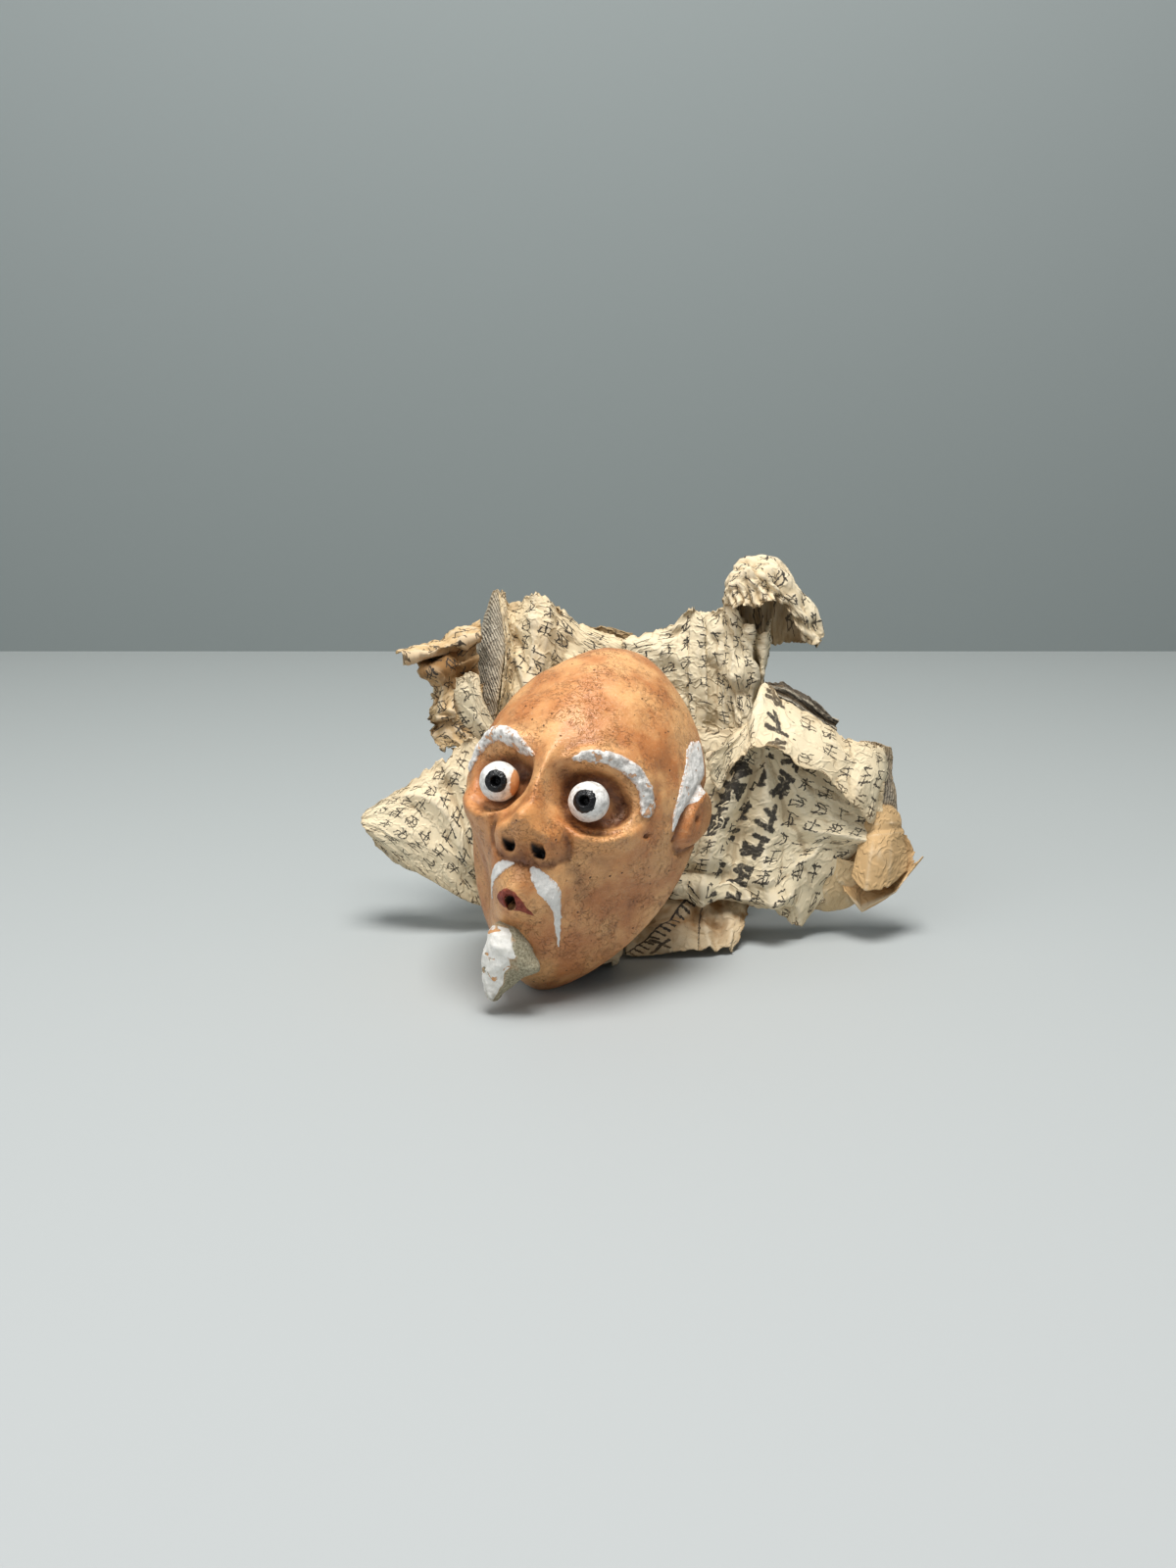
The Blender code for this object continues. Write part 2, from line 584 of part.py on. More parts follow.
def head_stuffing(finish, place):
    """The wad inside the shell, which turns with it on the tube."""
    half_width = FACE_HALF_WIDTH - SHELL_WALL - STUFFING_SIDE_ROOM
    half_height = FACE_UP - SHELL_WALL - STUFFING_END_ROOM
    front = SHELL_WALL + STUFFING_FRONT_ROOM - FACE_DEPTH
    half_depth = (STUFFING_BACK - front) / 2
    middle = Vector((0, (STUFFING_BACK + front) / 2, STUFFING_Z))
    shape = bmesh.new()
    bmesh.ops.create_icosphere(shape, subdivisions=3, radius=1.0)
    for vert in shape.verts:
        lump = 1 - STUFFING_CREASE * abs(noise.noise(vert.co * 2.3))
        spread = Vector((vert.co.x * half_width, vert.co.y * half_depth, vert.co.z * half_height))
        vert.co = (spread + middle) * lump
    made = piece("head_stuffing", shape, finish, place)
    cut(made, cutter("stuffing_bore", tube_space(TUBE_RADIUS + GAP, TUBE_TOP + GAP)))
    return made


def tube_space(radius, top):
    """An upright cylinder about the tube's axis, from below the floor up to top."""
    foot = Vector((TUBE_X, TUBE_Y, -TUBE_BOTTOM))
    return rod(radius, foot, Vector((TUBE_X, TUBE_Y, top)), 24)


def finger_tube(finish):
    """A rolled card tube, turned from its wall's section."""
    shape = wall_section(TUBE_RADIUS - TUBE_WALL, TUBE_RADIUS, TUBE_BOTTOM - NOD_HEIGHT,
                         TUBE_TOP - NOD_HEIGHT)
    made = piece("finger_tube", shape, finish, Matrix.Translation((TUBE_X, TUBE_Y, NOD_HEIGHT)))
    turn_round(made, 28)
    return made


def rounded_block(low, high, bevel):
    shape = bmesh.new()
    bmesh.ops.create_cube(shape, size=1.0)
    low, high = Vector(low), Vector(high)
    for vert in shape.verts:
        share = vert.co + Vector((0.5, 0.5, 0.5))
        vert.co = Vector([a + (b - a) * t for a, b, t in zip(low, high, share)])
    edges = [e for e in shape.edges if max(v.co.z for v in e.verts) > low.z + 1e-6]
    bmesh.ops.bevel(shape, geom=edges, offset=bevel, segments=2, profile=0.5, affect="EDGES", material=-1)
    return shape


def paper_core(finish):
    """The wad that everything is pressed into: a low seat around the tube and a lump behind."""
    back = PAPER_PLANE_Y + WAD_SET_BACK
    lump = rounded_block((LUMP_LEFT, back, 0), (LUMP_RIGHT, back + LUMP_DEPTH, LUMP_HEIGHT), LUMP_ROUND)
    seat = rounded_block((2 * TUBE_X - SEAT_SIDE_X, SEAT_FRONT, 0),
                         (SEAT_SIDE_X, back + SEAT_ROUND, SEAT_HEIGHT), SEAT_ROUND)
    made = piece("paper_core", lump, finish)
    join(made, cutter("core_seat", seat))
    cut(made, cutter("tube_groove", tube_space(TUBE_RADIUS + GROOVE_CLEARANCE, 2 * SEAT_HEIGHT)))
    return made


def sheet(name, finish, from_x=0.0):
    """A crumpled sheet: a smooth net of control points, creased, with its paper's thickness."""
    net = np.array(SHEET_NETS[name], float)
    across = SHEET_CELLS
    down = SHEET_CELLS if len(net) > 2 else SHEET_CELLS // 2
    shape = bmesh.new()
    bmesh.ops.create_grid(shape, x_segments=across, y_segments=down, size=1.0)
    for vert in shape.verts:
        rows = [catmull(row, min(max((vert.co.x + 1) / 2, 0.0), 1.0)) for row in net]
        x, depth, z = catmull(rows, min(max((1 - vert.co.y) / 2, 0.0), 1.0))
        crease = noise.noise(Vector((x, z, 0.0)) * CREASES_PER_MM)
        vert.co = Vector((x, depth + CREASE_HEIGHT * crease, z)) * MM
        vert.co += Vector((from_x, PAPER_PLANE_Y, 0))
    made = piece(name, shape, finish)
    body = made.modifiers.new("Paper", "SOLIDIFY")
    body.thickness = SHEET_THICKNESS
    body.offset = 0.0
    return made


def top_right_tuft(finish):
    spine = [(x, depth + PAPER_PLANE_Y / MM, z, radius) for x, depth, z, radius in TUFT_SPINE]
    return spine_tube("top_right_tuft", spine, finish, points_between=3)


def head_place(shell):
    """The head's matrix: turned, leaned back and tilted, with its lowest point by the floor."""
    turned = (Matrix.Rotation(HEAD_TILT, 4, "Y") @ Matrix.Rotation(-HEAD_LEAN, 4, "X")
              @ Matrix.Rotation(-HEAD_YAW, 4, "Z"))
    shape = evaluated(shell)
    lowest = min((turned @ v.co).z for v in shape.verts)
    shape.free()
    return Matrix.Translation((RIM_MIDDLE_X, RIM_MIDDLE_Y, FLOOR_GAP - lowest)) @ turned


def build_head(finishes):
    shell = face_shell(finishes["clay"])
    surface = face_surface(FACE_CELLS)
    tree = BVHTree.FromBMesh(surface)
    surface.free()
    pieces = [shell, lips(finishes["lip_red"], tree), goatee(finishes["plaster"])]
    for side, word in ((-1, "left"), (1, "right")):
        pieces.append(eyeball(word, side, finishes["white_paste"]))
        pieces.append(pupil_ring(word, side, finishes["black_gloss"]))
        pieces.append(stroke(f"{word}_eyebrow", BROW_STROKE, side, finishes["white_paste"], tree))
        pieces.append(stroke(f"{word}_moustache", MOUSTACHE_STROKE, side, finishes["white_paste"], tree))
        pieces.append(stroke(f"{word}_sideburn", SIDEBURN_STROKE, side, finishes["white_paste"], tree))
    place = head_place(shell)
    for made in pieces + list(CUTTERS.objects):
        made.matrix_world = place @ made.matrix_world
    pieces.append(head_stuffing(finishes["newsprint"], place))
    return pieces


def build_puppet():
    finishes = {
        "clay": material("clay", CLAY, 0.55),
        "white_paste": material("white_paste", WHITE_PASTE, 0.7),
        "black_gloss": material("black_gloss", BLACK_GLOSS, 0.2),
        "lip_red": material("lip_red", LIP_RED, 0.5),
        "plaster": material("plaster", PLASTER, 0.85),
        "newsprint": material("newsprint", NEWSPRINT, 0.85),
        "inked_newsprint": material("inked_newsprint", INKED_NEWSPRINT, 0.85),
        "brown_paper": material("brown_paper", BROWN_PAPER, 0.9),
        "tan_paper": material("tan_paper", TAN_PAPER, 0.8),
        "card": material("card", CARD, 0.8),
    }
    head = build_head(finishes)
    tube = finger_tube(finishes["card"])
    paper_core(finishes["newsprint"])
    for name in ("upper_left_panel", "upper_right_panel", "left_scraps"):
        sheet(name, finishes["newsprint"])
    sheet("bottom_piece", finishes["newsprint"], SEAT_SIDE_X)
    top_right_tuft(finishes["newsprint"])
    for name in ("grey_strip", "dark_fold"):
        sheet(name, finishes["inked_newsprint"])
    for name in ("brown_lining", "torn_wad"):
        sheet(name, finishes["brown_paper"])
    left_arm = [sheet(name, finishes["newsprint"]) for name in ("left_sleeve", "left_under_fold")]
    right_arm = [sheet(name, finishes["newsprint"]) for name in ("right_sleeve", "right_flap")]
    right_arm.append(sheet("right_cuff", finishes["tan_paper"]))

    nod = pivot("neck_nod_axis", (TUBE_X, TUBE_Y, NOD_HEIGHT))
    turn = pivot("head_turn_axis", (TUBE_X, TUBE_Y, NOD_HEIGHT), nod)
    carry(nod, [tube])
    carry(turn, head)
    for word, place, pieces in (("left", LEFT_ARM_PIVOT, left_arm), ("right", RIGHT_ARM_PIVOT, right_arm)):
        carry(pivot(f"{word}_arm_axis", (place[0], PAPER_PLANE_Y, place[1])), pieces)


clear_scene()
PARTS = new_collection("hand_puppet")
CUTTERS = new_collection("cutters")
build_puppet()
bpy.context.view_layer.update()
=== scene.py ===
"""Looks of a small hand puppet: a painted clay face shell in a glove of crumpled newsprint.

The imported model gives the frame: metres, +Z up, the floor at z = 0 and the face towards -Y.
Shapes are designed in millimetres and placed in metres. The face is drawn upright in a frame
of its own (x across, -y out of the face, z up, origin in the middle of the rim) and then laid
back into place, as the CAD does it.
"""

import logging
import math
from dataclasses import dataclass, field
from enum import Enum
from itertools import product

import bmesh
import bpy
import numpy as np
from mathutils import Matrix, Vector
from mathutils.bvhtree import BVHTree


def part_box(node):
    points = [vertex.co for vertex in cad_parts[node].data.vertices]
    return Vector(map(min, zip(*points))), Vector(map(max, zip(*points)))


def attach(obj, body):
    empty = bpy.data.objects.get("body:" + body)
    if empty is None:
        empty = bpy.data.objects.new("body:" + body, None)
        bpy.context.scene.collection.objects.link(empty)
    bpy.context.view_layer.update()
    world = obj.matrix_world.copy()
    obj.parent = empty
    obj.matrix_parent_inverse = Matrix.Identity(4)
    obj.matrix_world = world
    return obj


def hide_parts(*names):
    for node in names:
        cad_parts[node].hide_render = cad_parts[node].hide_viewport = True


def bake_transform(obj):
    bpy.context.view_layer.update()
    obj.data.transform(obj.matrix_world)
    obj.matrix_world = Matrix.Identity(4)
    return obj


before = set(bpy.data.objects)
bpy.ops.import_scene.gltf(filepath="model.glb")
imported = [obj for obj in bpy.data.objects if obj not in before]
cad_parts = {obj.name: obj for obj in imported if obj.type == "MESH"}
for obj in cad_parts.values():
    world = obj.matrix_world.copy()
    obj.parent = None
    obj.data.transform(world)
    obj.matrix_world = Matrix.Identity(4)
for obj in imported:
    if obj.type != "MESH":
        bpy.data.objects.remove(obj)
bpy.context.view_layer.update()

MM = 0.001
UV_UNIT = 100.0  # millimetres to one unit of a UV map
FAR = 60.0  # millimetres: well outside the puppet, where a ray starts
PAPER_DEPTH = 22.6  # of the paper plane behind the finger tube's axis, in millimetres
SIDES = ((-1, "left"), (1, "right"))  # of the puppet's face as it is looked at
LOG = logging.getLogger("hand_puppet")

Array = np.ndarray
Colour = tuple[float, float, float]
Path = tuple[tuple[float, float, float], ...]  # points of a stroke of paint: x, z and half width
Edges = tuple[float, float, float, float]  # one number for each edge of a sheet: top, right, bottom, left


# ---- Numbers and meshes ----


def lattice_noise(places: Array, seed: int = 0) -> Array:
    """Smooth noise on a lattice of whole numbers.

    Args:
        places: (n, 3) array of places.
        seed: Picks one noise among many.

    Returns:
        (n,) array of values from -1 to 1.
    """
    cell = np.floor(places).astype(np.int64)
    share = places - cell
    share = share * share * (3 - 2 * share)
    total = np.zeros(len(places))
    for step in product((0, 1), repeat=3):
        mixed = seed * 1013904223 + 12345
        for axis, prime in enumerate((73856093, 19349663, 83492791)):
            mixed = (mixed ^ ((cell[:, axis] + step[axis]) * prime)) & 0x7FFFFFFF
            mixed = (mixed * 1103515245 + 12345) & 0x7FFFFFFF
        value = ((mixed >> 9) & 0xFFFF) / 32767.5 - 1
        weight = np.ones(len(places))
        for axis in range(3):
            weight *= share[:, axis] if step[axis] else 1 - share[:, axis]
        total += value * weight
    return total


def fractal(places: Array, octaves: int = 3, seed: int = 0) -> Array:
    """Noise with finer and weaker noise on top.

    Args:
        places: An (n, 2) or (n, 3) array.
        octaves: How many layers of noise.
        seed: Picks the pattern.

    Returns:
        One value per place, about from -1 to 1.
    """
    total = np.zeros(len(places))
    for octave in range(octaves):
        total += lattice_noise(places * 2.03**octave, seed + 7 * octave) * 0.5**octave
    return total


def spline_weights(count: int, shares: Array, sharp: float = 0.0) -> Array:
    """Weights of the control points of a curve through all of them.

    Args:
        count: How many control points there are.
        shares: (n,) array of places along the curve, from 0 to 1.
        sharp: 0 for a smooth curve, 1 for straight runs that meet at the points.

    Returns:
        (n, count) array.
    """
    last = count - 1
    span = np.minimum((shares * last).astype(int), last - 1)
    t = shares * last - span
    basis = (
        -0.5 * t**3 + t**2 - 0.5 * t,
        1.5 * t**3 - 2.5 * t**2 + 1,
        -1.5 * t**3 + 2 * t**2 + 0.5 * t,
        0.5 * t**3 - 0.5 * t**2,
    )
    straight = (0.0, 1 - t, t, 0.0)
    weights = np.zeros((len(shares), count))
    for step, curved, flat in zip((-1, 0, 1, 2), basis, straight):
        column = np.clip(span + step, 0, last)
        np.add.at(weights, (np.arange(len(shares)), column), (1 - sharp) * curved + sharp * flat)
    return weights


def along_curve(points: tuple, shares: Array) -> Array:
    """Points on the smooth curve through the given points, one for each share."""
    return spline_weights(len(points), np.clip(shares, 0, 1)) @ np.array(points, float)


def smooth_step(low: float, high: float, values: Array) -> Array:
    """Rises smoothly from 0 at low to 1 at high."""
    t = np.clip((values - low) / (high - low), 0, 1)
    return t * t * (3 - 2 * t)


def into_mesh(shape: bmesh.types.BMesh, name: str) -> bpy.types.Mesh:
    """Turns a finished bmesh into a mesh.

    Args:
        shape: The bmesh, which is freed.
        name: The name of the mesh.

    Returns:
        The mesh.
    """
    mesh = bpy.data.meshes.new(name)
    shape.to_mesh(mesh)
    shape.free()
    return mesh


def bell(gap: Array, power: float = 2) -> Array:
    """1 where the gap is 0, falling to about 0 beyond 1."""
    return np.exp(-(gap**power))


def columns(*parts: object) -> Array:
    """Numbers and (n,) arrays side by side as the columns of one array."""
    return np.stack(np.broadcast_arrays(*parts), axis=1)


def disc(shares: Array) -> tuple[Array, Array]:
    """Lays a square, in shares from 0 to 1, onto a round disc of radius 1."""
    u, v = (shares * 2 - 1).T
    return u * np.sqrt(1 - v * v / 2), v * np.sqrt(1 - u * u / 2)


def grid_mesh(name: str, across: int, down: int) -> tuple[bpy.types.Mesh, Array]:
    """A flat grid of cells.

    Args:
        name: The name of the mesh.
        across, down: How many cells it has.

    Returns:
        The mesh, and an (n, 2) array of its vertices' shares: 0 to 1 rightwards and upwards.
    """
    shape = bmesh.new()
    bmesh.ops.create_grid(shape, x_segments=across, y_segments=down, size=1.0)
    mesh = into_mesh(shape, name)
    return mesh, np.clip(places_of(mesh)[:, :2] * 0.5 + 0.5, 0, 1)


def ball_mesh(name: str, around: int, rings: int) -> tuple[bpy.types.Mesh, Array]:
    """A ball of radius 1.

    Args:
        name: The name of the mesh.
        around, rings: How many cells it has.

    Returns:
        The mesh, and its vertices' places.
    """
    shape = bmesh.new()
    bmesh.ops.create_uvsphere(shape, u_segments=around, v_segments=rings, radius=1.0)
    mesh = into_mesh(shape, name)
    return mesh, places_of(mesh)


def places_of(mesh: bpy.types.Mesh) -> Array:
    """Where a mesh's vertices are.

    Args:
        mesh: The mesh.

    Returns:
        An (n, 3) array.
    """
    flat = np.zeros(len(mesh.vertices) * 3)
    mesh.vertices.foreach_get("co", flat)
    return flat.reshape(-1, 3)


def normals_of(mesh: bpy.types.Mesh) -> Array:
    """Which way a mesh's vertices face.

    Args:
        mesh: The mesh.

    Returns:
        An (n, 3) array of directions of length 1.
    """
    flat = np.zeros(len(mesh.vertices) * 3)
    mesh.vertex_normals.foreach_get("vector", flat)
    return flat.reshape(-1, 3)


def set_places(mesh: bpy.types.Mesh, places: Array) -> None:
    """Moves every vertex."""
    mesh.vertices.foreach_set("co", places.astype(np.float32).ravel())
    mesh.update()


def add_uv(mesh: bpy.types.Mesh, uv: Array) -> None:
    """Gives the mesh a UV map.

    Args:
        mesh: The mesh.
        uv: An (n, 2) array with one place per vertex.
    """
    layer = mesh.uv_layers.new(name="UVMap")
    corner = np.zeros(len(mesh.loops), int)
    mesh.loops.foreach_get("vertex_index", corner)
    layer.data.foreach_set("uv", uv[corner].astype(np.float32).ravel())


def add_mask(mesh: bpy.types.Mesh, name: str, values: Array) -> None:
    """Stores one number per vertex for a material to read."""
    made = mesh.attributes.new(name, "FLOAT", "POINT")
    made.data.foreach_set("value", np.clip(values, 0, 1).astype(np.float32))


def shade(mesh: bpy.types.Mesh) -> None:
    """Smooth shading all over."""
    mesh.polygons.foreach_set("use_smooth", [True] * len(mesh.polygons))
    mesh.update()


def turn_to(mesh: bpy.types.Mesh, out: tuple[float, float, float] = (0, -1, 0)) -> None:
    """Turns the faces to point outwards, most of them the way of out."""
    if float(np.mean(normals_of(mesh) @ np.array(out))) < 0:
        mesh.flip_normals()
        mesh.update()


def roughness_of(mesh: bpy.types.Mesh, rounds: int) -> Array:
    """How far each vertex stands above its smoothed surroundings.

    Args:
        mesh: The mesh.
        rounds: How often the surroundings are smoothed.

    Returns:
        One height per vertex, in mesh units.
    """
    places = places_of(mesh)
    ends = np.zeros(len(mesh.edges) * 2, int)
    mesh.edges.foreach_get("vertices", ends)
    ends = ends.reshape(-1, 2)
    count = np.bincount(ends.ravel(), minlength=len(places))[:, None]
    smoothed = places
    for _ in range(rounds):
        total = np.zeros_like(places)
        for axis, (near, far) in product(range(3), (ends.T, ends.T[::-1])):
            total[:, axis] += np.bincount(near, smoothed[far, axis], minlength=len(places))
        smoothed = total / count
    return np.einsum("ij,ij->i", places - smoothed, normals_of(mesh))


def new_object(name: str, data: bpy.types.ID) -> bpy.types.Object:
    """Puts a mesh, a lamp or a camera into the scene.

    Args:
        name: The object's name.
        data: What it shows.

    Returns:
        The object.
    """
    made = bpy.data.objects.new(name, data)
    bpy.context.scene.collection.objects.link(made)
    return made


def dress(made: bpy.types.Object, material: bpy.types.Material) -> None:
    """Gives a piece its one material."""
    made.data.materials.clear()
    made.data.materials.append(material)


def thicken(made: bpy.types.Object, name: str, wall: float, offset: float = -1.0) -> bpy.types.Modifier:
    """Gives an open piece a wall.

    Args:
        made: The piece.
        name: The modifier's name.
        wall: Thickness in millimetres.
        offset: -1 for inwards, 1 for outwards.

    Returns:
        The modifier.
    """
    body = made.modifiers.new(name, "SOLIDIFY")
    body.thickness = wall * MM
    body.offset = offset
    return body


# ---- Finishes ----


class Nodes:
    """Writes a material's node tree in short lines."""

    def __init__(self, name: str) -> None:
        """Starts a material that holds only its shader.

        Args:
            name: The material's name.
        """
        self.material = bpy.data.materials.new(name)
        self.material.use_nodes = True
        self.tree = self.material.node_tree
        self.shader = self.tree.nodes["Principled BSDF"]
        self.colour: object = None

    def add(self, kind: str, inputs: dict | None = None, **settings: object) -> bpy.types.Node:
        """Adds a node.

        Args:
            kind: The node's type.
            inputs: A socket's name or number, and its value or the socket it comes from.
            settings: The node's own options.

        Returns:
            The node.
        """
        node = self.tree.nodes.new(kind)
        for key, value in settings.items():
            setattr(node, key, value)
        for key, value in (inputs or {}).items():
            self.join(value, node.inputs[key])
        return node

    def join(self, value: object, socket: bpy.types.NodeSocket) -> None:
        """Links a socket to a socket, or sets its value."""
        if isinstance(value, bpy.types.NodeSocket):
            self.tree.links.new(value, socket)
        else:
            socket.default_value = value

    def math(self, operation: str, first: object, second: object = 0.0, third: object = 0.0) -> object:
        """A Math node's result."""
        node = self.add("ShaderNodeMath", {0: first, 1: second, 2: third}, operation=operation)
        return node.outputs[0]

    def times(self, first: object, second: object) -> object:
        """The product of two values."""
        return self.math("MULTIPLY", first, second)

    def plus(self, first: object, second: object) -> object:
        """The sum of two values."""
        return self.math("ADD", first, second)

    def minus(self, first: object, second: object) -> object:
        """The first value less the second."""
        return self.math("SUBTRACT", first, second)

    def most(self, first: object, second: object) -> object:
        """The larger of two values."""
        return self.math("MAXIMUM", first, second)

    def absolute(self, value: object) -> object:
        """The value without its sign."""
        return self.math("ABSOLUTE", value)

    def above(self, value: object, level: object) -> object:
        """1 where the value is above the level and 0 elsewhere."""
        return self.math("GREATER_THAN", value, level)

    def below(self, value: object, level: object) -> object:
        """1 where the value is below the level and 0 elsewhere."""
        return self.math("LESS_THAN", value, level)

    def between(self, value: object, low: object, high: object) -> object:
        """1 where the value lies between two levels and 0 elsewhere."""
        return self.times(self.above(value, low), self.below(value, high))

    def gap(self, first: object, second: object) -> object:
        """How far apart two values are."""
        return self.absolute(self.minus(first, second))

    def vector(self, operation: str, first: object, second: object = (0, 0, 0)) -> object:
        """A Vector Math node's result."""
        node = self.add("ShaderNodeVectorMath", {0: first, 1: second}, operation=operation)
        return node.outputs["Value" if operation in ("LENGTH", "DOT_PRODUCT", "DISTANCE") else "Vector"]

    def split(self, value: object) -> tuple:
        """The x, y and z of a place or a colour."""
        return tuple(self.add("ShaderNodeSeparateXYZ", {0: value}).outputs)

    def mix(self, share: object, first: object, second: object) -> object:
        """Blends two colours.

        Args:
            share: How much of the second, from 0 to 1.
            first, second: The colours.

        Returns:
            The blend.
        """
        node = self.add("ShaderNodeMix", data_type="RGBA", blend_type="MIX")
        for key, value in ((0, share), (6, first), (7, second)):
            self.join((*value, 1.0) if isinstance(value, tuple) else value, node.inputs[key])
        return node.outputs[2]

    def lay(self, share: object, colour: object) -> None:
        """Lays a colour over the one so far, as far as share says."""
        self.colour = self.mix(share, self.colour, colour)

    def ramp(self, value: object, low: float, high: float, start: float = 0.0, end: float = 1.0) -> object:
        """Maps low..high smoothly to start..end and holds it beyond.

        Args:
            value: What is mapped.
            low, high: Where the slope starts and ends.
            start, end: The values there.

        Returns:
            The mapped value.
        """
        inputs = {0: value, 1: low, 2: high, 3: start, 4: end}
        node = self.add("ShaderNodeMapRange", inputs, interpolation_type="SMOOTHSTEP")
        return node.outputs[0]

    def noise(
        self, place: object, scale: float, detail: float = 2.0, rough: float = 0.5, warp: float = 0.0
    ) -> object:
        """A Noise Texture's value, from 0 to 1."""
        inputs = {"Vector": place, "Scale": scale, "Detail": detail, "Roughness": rough, "Distortion": warp}
        return self.add("ShaderNodeTexNoise", inputs).outputs["Fac"]

    def mapped(
        self, place: object, scale: tuple, turn: tuple = (0, 0, 0), shift: tuple = (0, 0, 0)
    ) -> object:
        """A place moved, turned and scaled."""
        inputs = {"Vector": place, "Scale": scale, "Rotation": turn, "Location": shift}
        return self.add("ShaderNodeMapping", inputs).outputs[0]

    def spots(self, place: object, scale: float, size: float) -> object:
        """1 in the middle of scattered round spots and 0 outside them; size is their radius in cells."""
        cells = self.add("ShaderNodeTexVoronoi", {"Vector": place, "Scale": scale})
        return self.ramp(cells.outputs["Distance"], size * 0.4, size, 1.0, 0.0)

    def here(self) -> object:
        """Object coordinates in millimetres."""
        place = self.add("ShaderNodeTexCoord").outputs["Object"]
        return self.mapped(place, (1 / MM, 1 / MM, 1 / MM))

    def uv(self) -> object:
        """The piece's UV map in millimetres."""
        place = self.add("ShaderNodeUVMap", uv_map="UVMap").outputs[0]
        return self.mapped(place, (UV_UNIT, UV_UNIT, 1))

    def mask(self, name: str) -> object:
        """One number per vertex, stored on the mesh."""
        return self.add("ShaderNodeAttribute", attribute_name=name).outputs["Fac"]

    def bump(self, height: object, depth: float) -> None:
        """Gives the surface a fine relief of up to depth millimetres."""
        inputs = {"Height": height, "Distance": depth * MM, "Strength": 1.0}
        self.join(self.add("ShaderNodeBump", inputs).outputs[0], self.shader.inputs["Normal"])

    def finish(self, roughness: object, specular: float) -> bpy.types.Material:
        """Joins the colour and the roughness to the shader.

        Args:
            roughness: A number or a socket.
            specular: How strong the shine is.

        Returns:
            The material.
        """
        self.join(self.colour, self.shader.inputs["Base Color"])
        self.join(roughness, self.shader.inputs["Roughness"])
        self.shader.inputs["Specular IOR Level"].default_value = specular
        return self.material


@dataclass(frozen=True)
class ClayFinish:
    """Orange-brown painted clay: brushed, pitted, with a slight gloss, darkened in its hollows by painted
    shade and dirt.
    """

    name: str = "painted_clay"
    light: Colour = (0.80, 0.43, 0.175)
    deep: Colour = (0.53, 0.20, 0.062)
    # dark brown for dirt blotches and cracks, and also painted shade in the hollows
    dirt_and_shade_wash: Colour = (0.15, 0.05, 0.018)
    worn: Colour = (0.80, 0.50, 0.27)
    flush: Colour = (0.60, 0.235, 0.06)
    hole: Colour = (0.06, 0.02, 0.01)
    # near black painted as shade inside the bored nostrils and mouth hole
    hole_shade: Colour = (0.004, 0.003, 0.003)

    def build(self) -> bpy.types.Material:
        """Makes the material.

        Returns:
            The material.
        """
        n = Nodes(self.name)
        place = n.here()
        broad = n.noise(place, 0.13, 3, 0.55)
        n.colour = n.mix(n.ramp(broad, 0.36, 0.66), self.deep, self.light)
        n.lay(n.times(n.mask("glow"), 0.75), self.flush)
        streaks = n.noise(n.mapped(place, (0.35, 2.2, 2.2), (0.5, 0.1, 0.3)), 1.0, 4, 0.65, 0.4)
        n.lay(n.ramp(streaks, 0.52, 0.78, 0, 0.42), self.worn)
        n.lay(n.ramp(streaks, 0.50, 0.24, 0, 0.60), self.deep)
        blotch = n.noise(place, 0.55, 4, 0.7)
        n.lay(n.ramp(blotch, 0.54, 0.76, 0, 0.42), self.dirt_and_shade_wash)
        ripple = n.gap(n.noise(place, 0.95, 4, 0.62, 0.7), 0.5)
        cracks = n.times(n.ramp(ripple, 0.0, 0.022, 1.0, 0.0), n.ramp(n.noise(place, 0.22, 2), 0.40, 0.62))
        n.lay(n.times(cracks, 0.16), self.dirt_and_shade_wash)
        # painted shade with some dirt: darker in eye sockets, creases, ear pits and concave places
        hollow = n.times(n.mask("hollow"), n.ramp(n.noise(place, 0.9, 3, 0.7), 0.2, 0.7, 0.65, 1.0))
        n.lay(hollow, self.dirt_and_shade_wash)
        fine = n.noise(place, 3.2, 3, 0.7)
        pits = n.times(n.spots(place, 0.62, 0.135), n.ramp(n.noise(place, 0.16, 1), 0.45, 0.62))
        specks = n.times(n.spots(place, 1.5, 0.12), n.ramp(n.noise(place, 0.30, 1), 0.5, 0.66))
        holes = n.most(pits, specks)
        n.lay(n.times(holes, 0.85), self.hole)
        # painted shade: the bored holes are coloured black
        n.lay(n.mask("pit"), self.hole_shade)
        height = n.plus(n.times(streaks, 0.5), n.times(fine, 0.35))
        height = n.minus(height, n.times(cracks, 0.5))
        n.bump(n.minus(height, n.times(holes, 1.4)), 0.24)
        rough = n.ramp(fine, 0.3, 0.7, 0.26, 0.50)
        return n.finish(rough, 0.55)


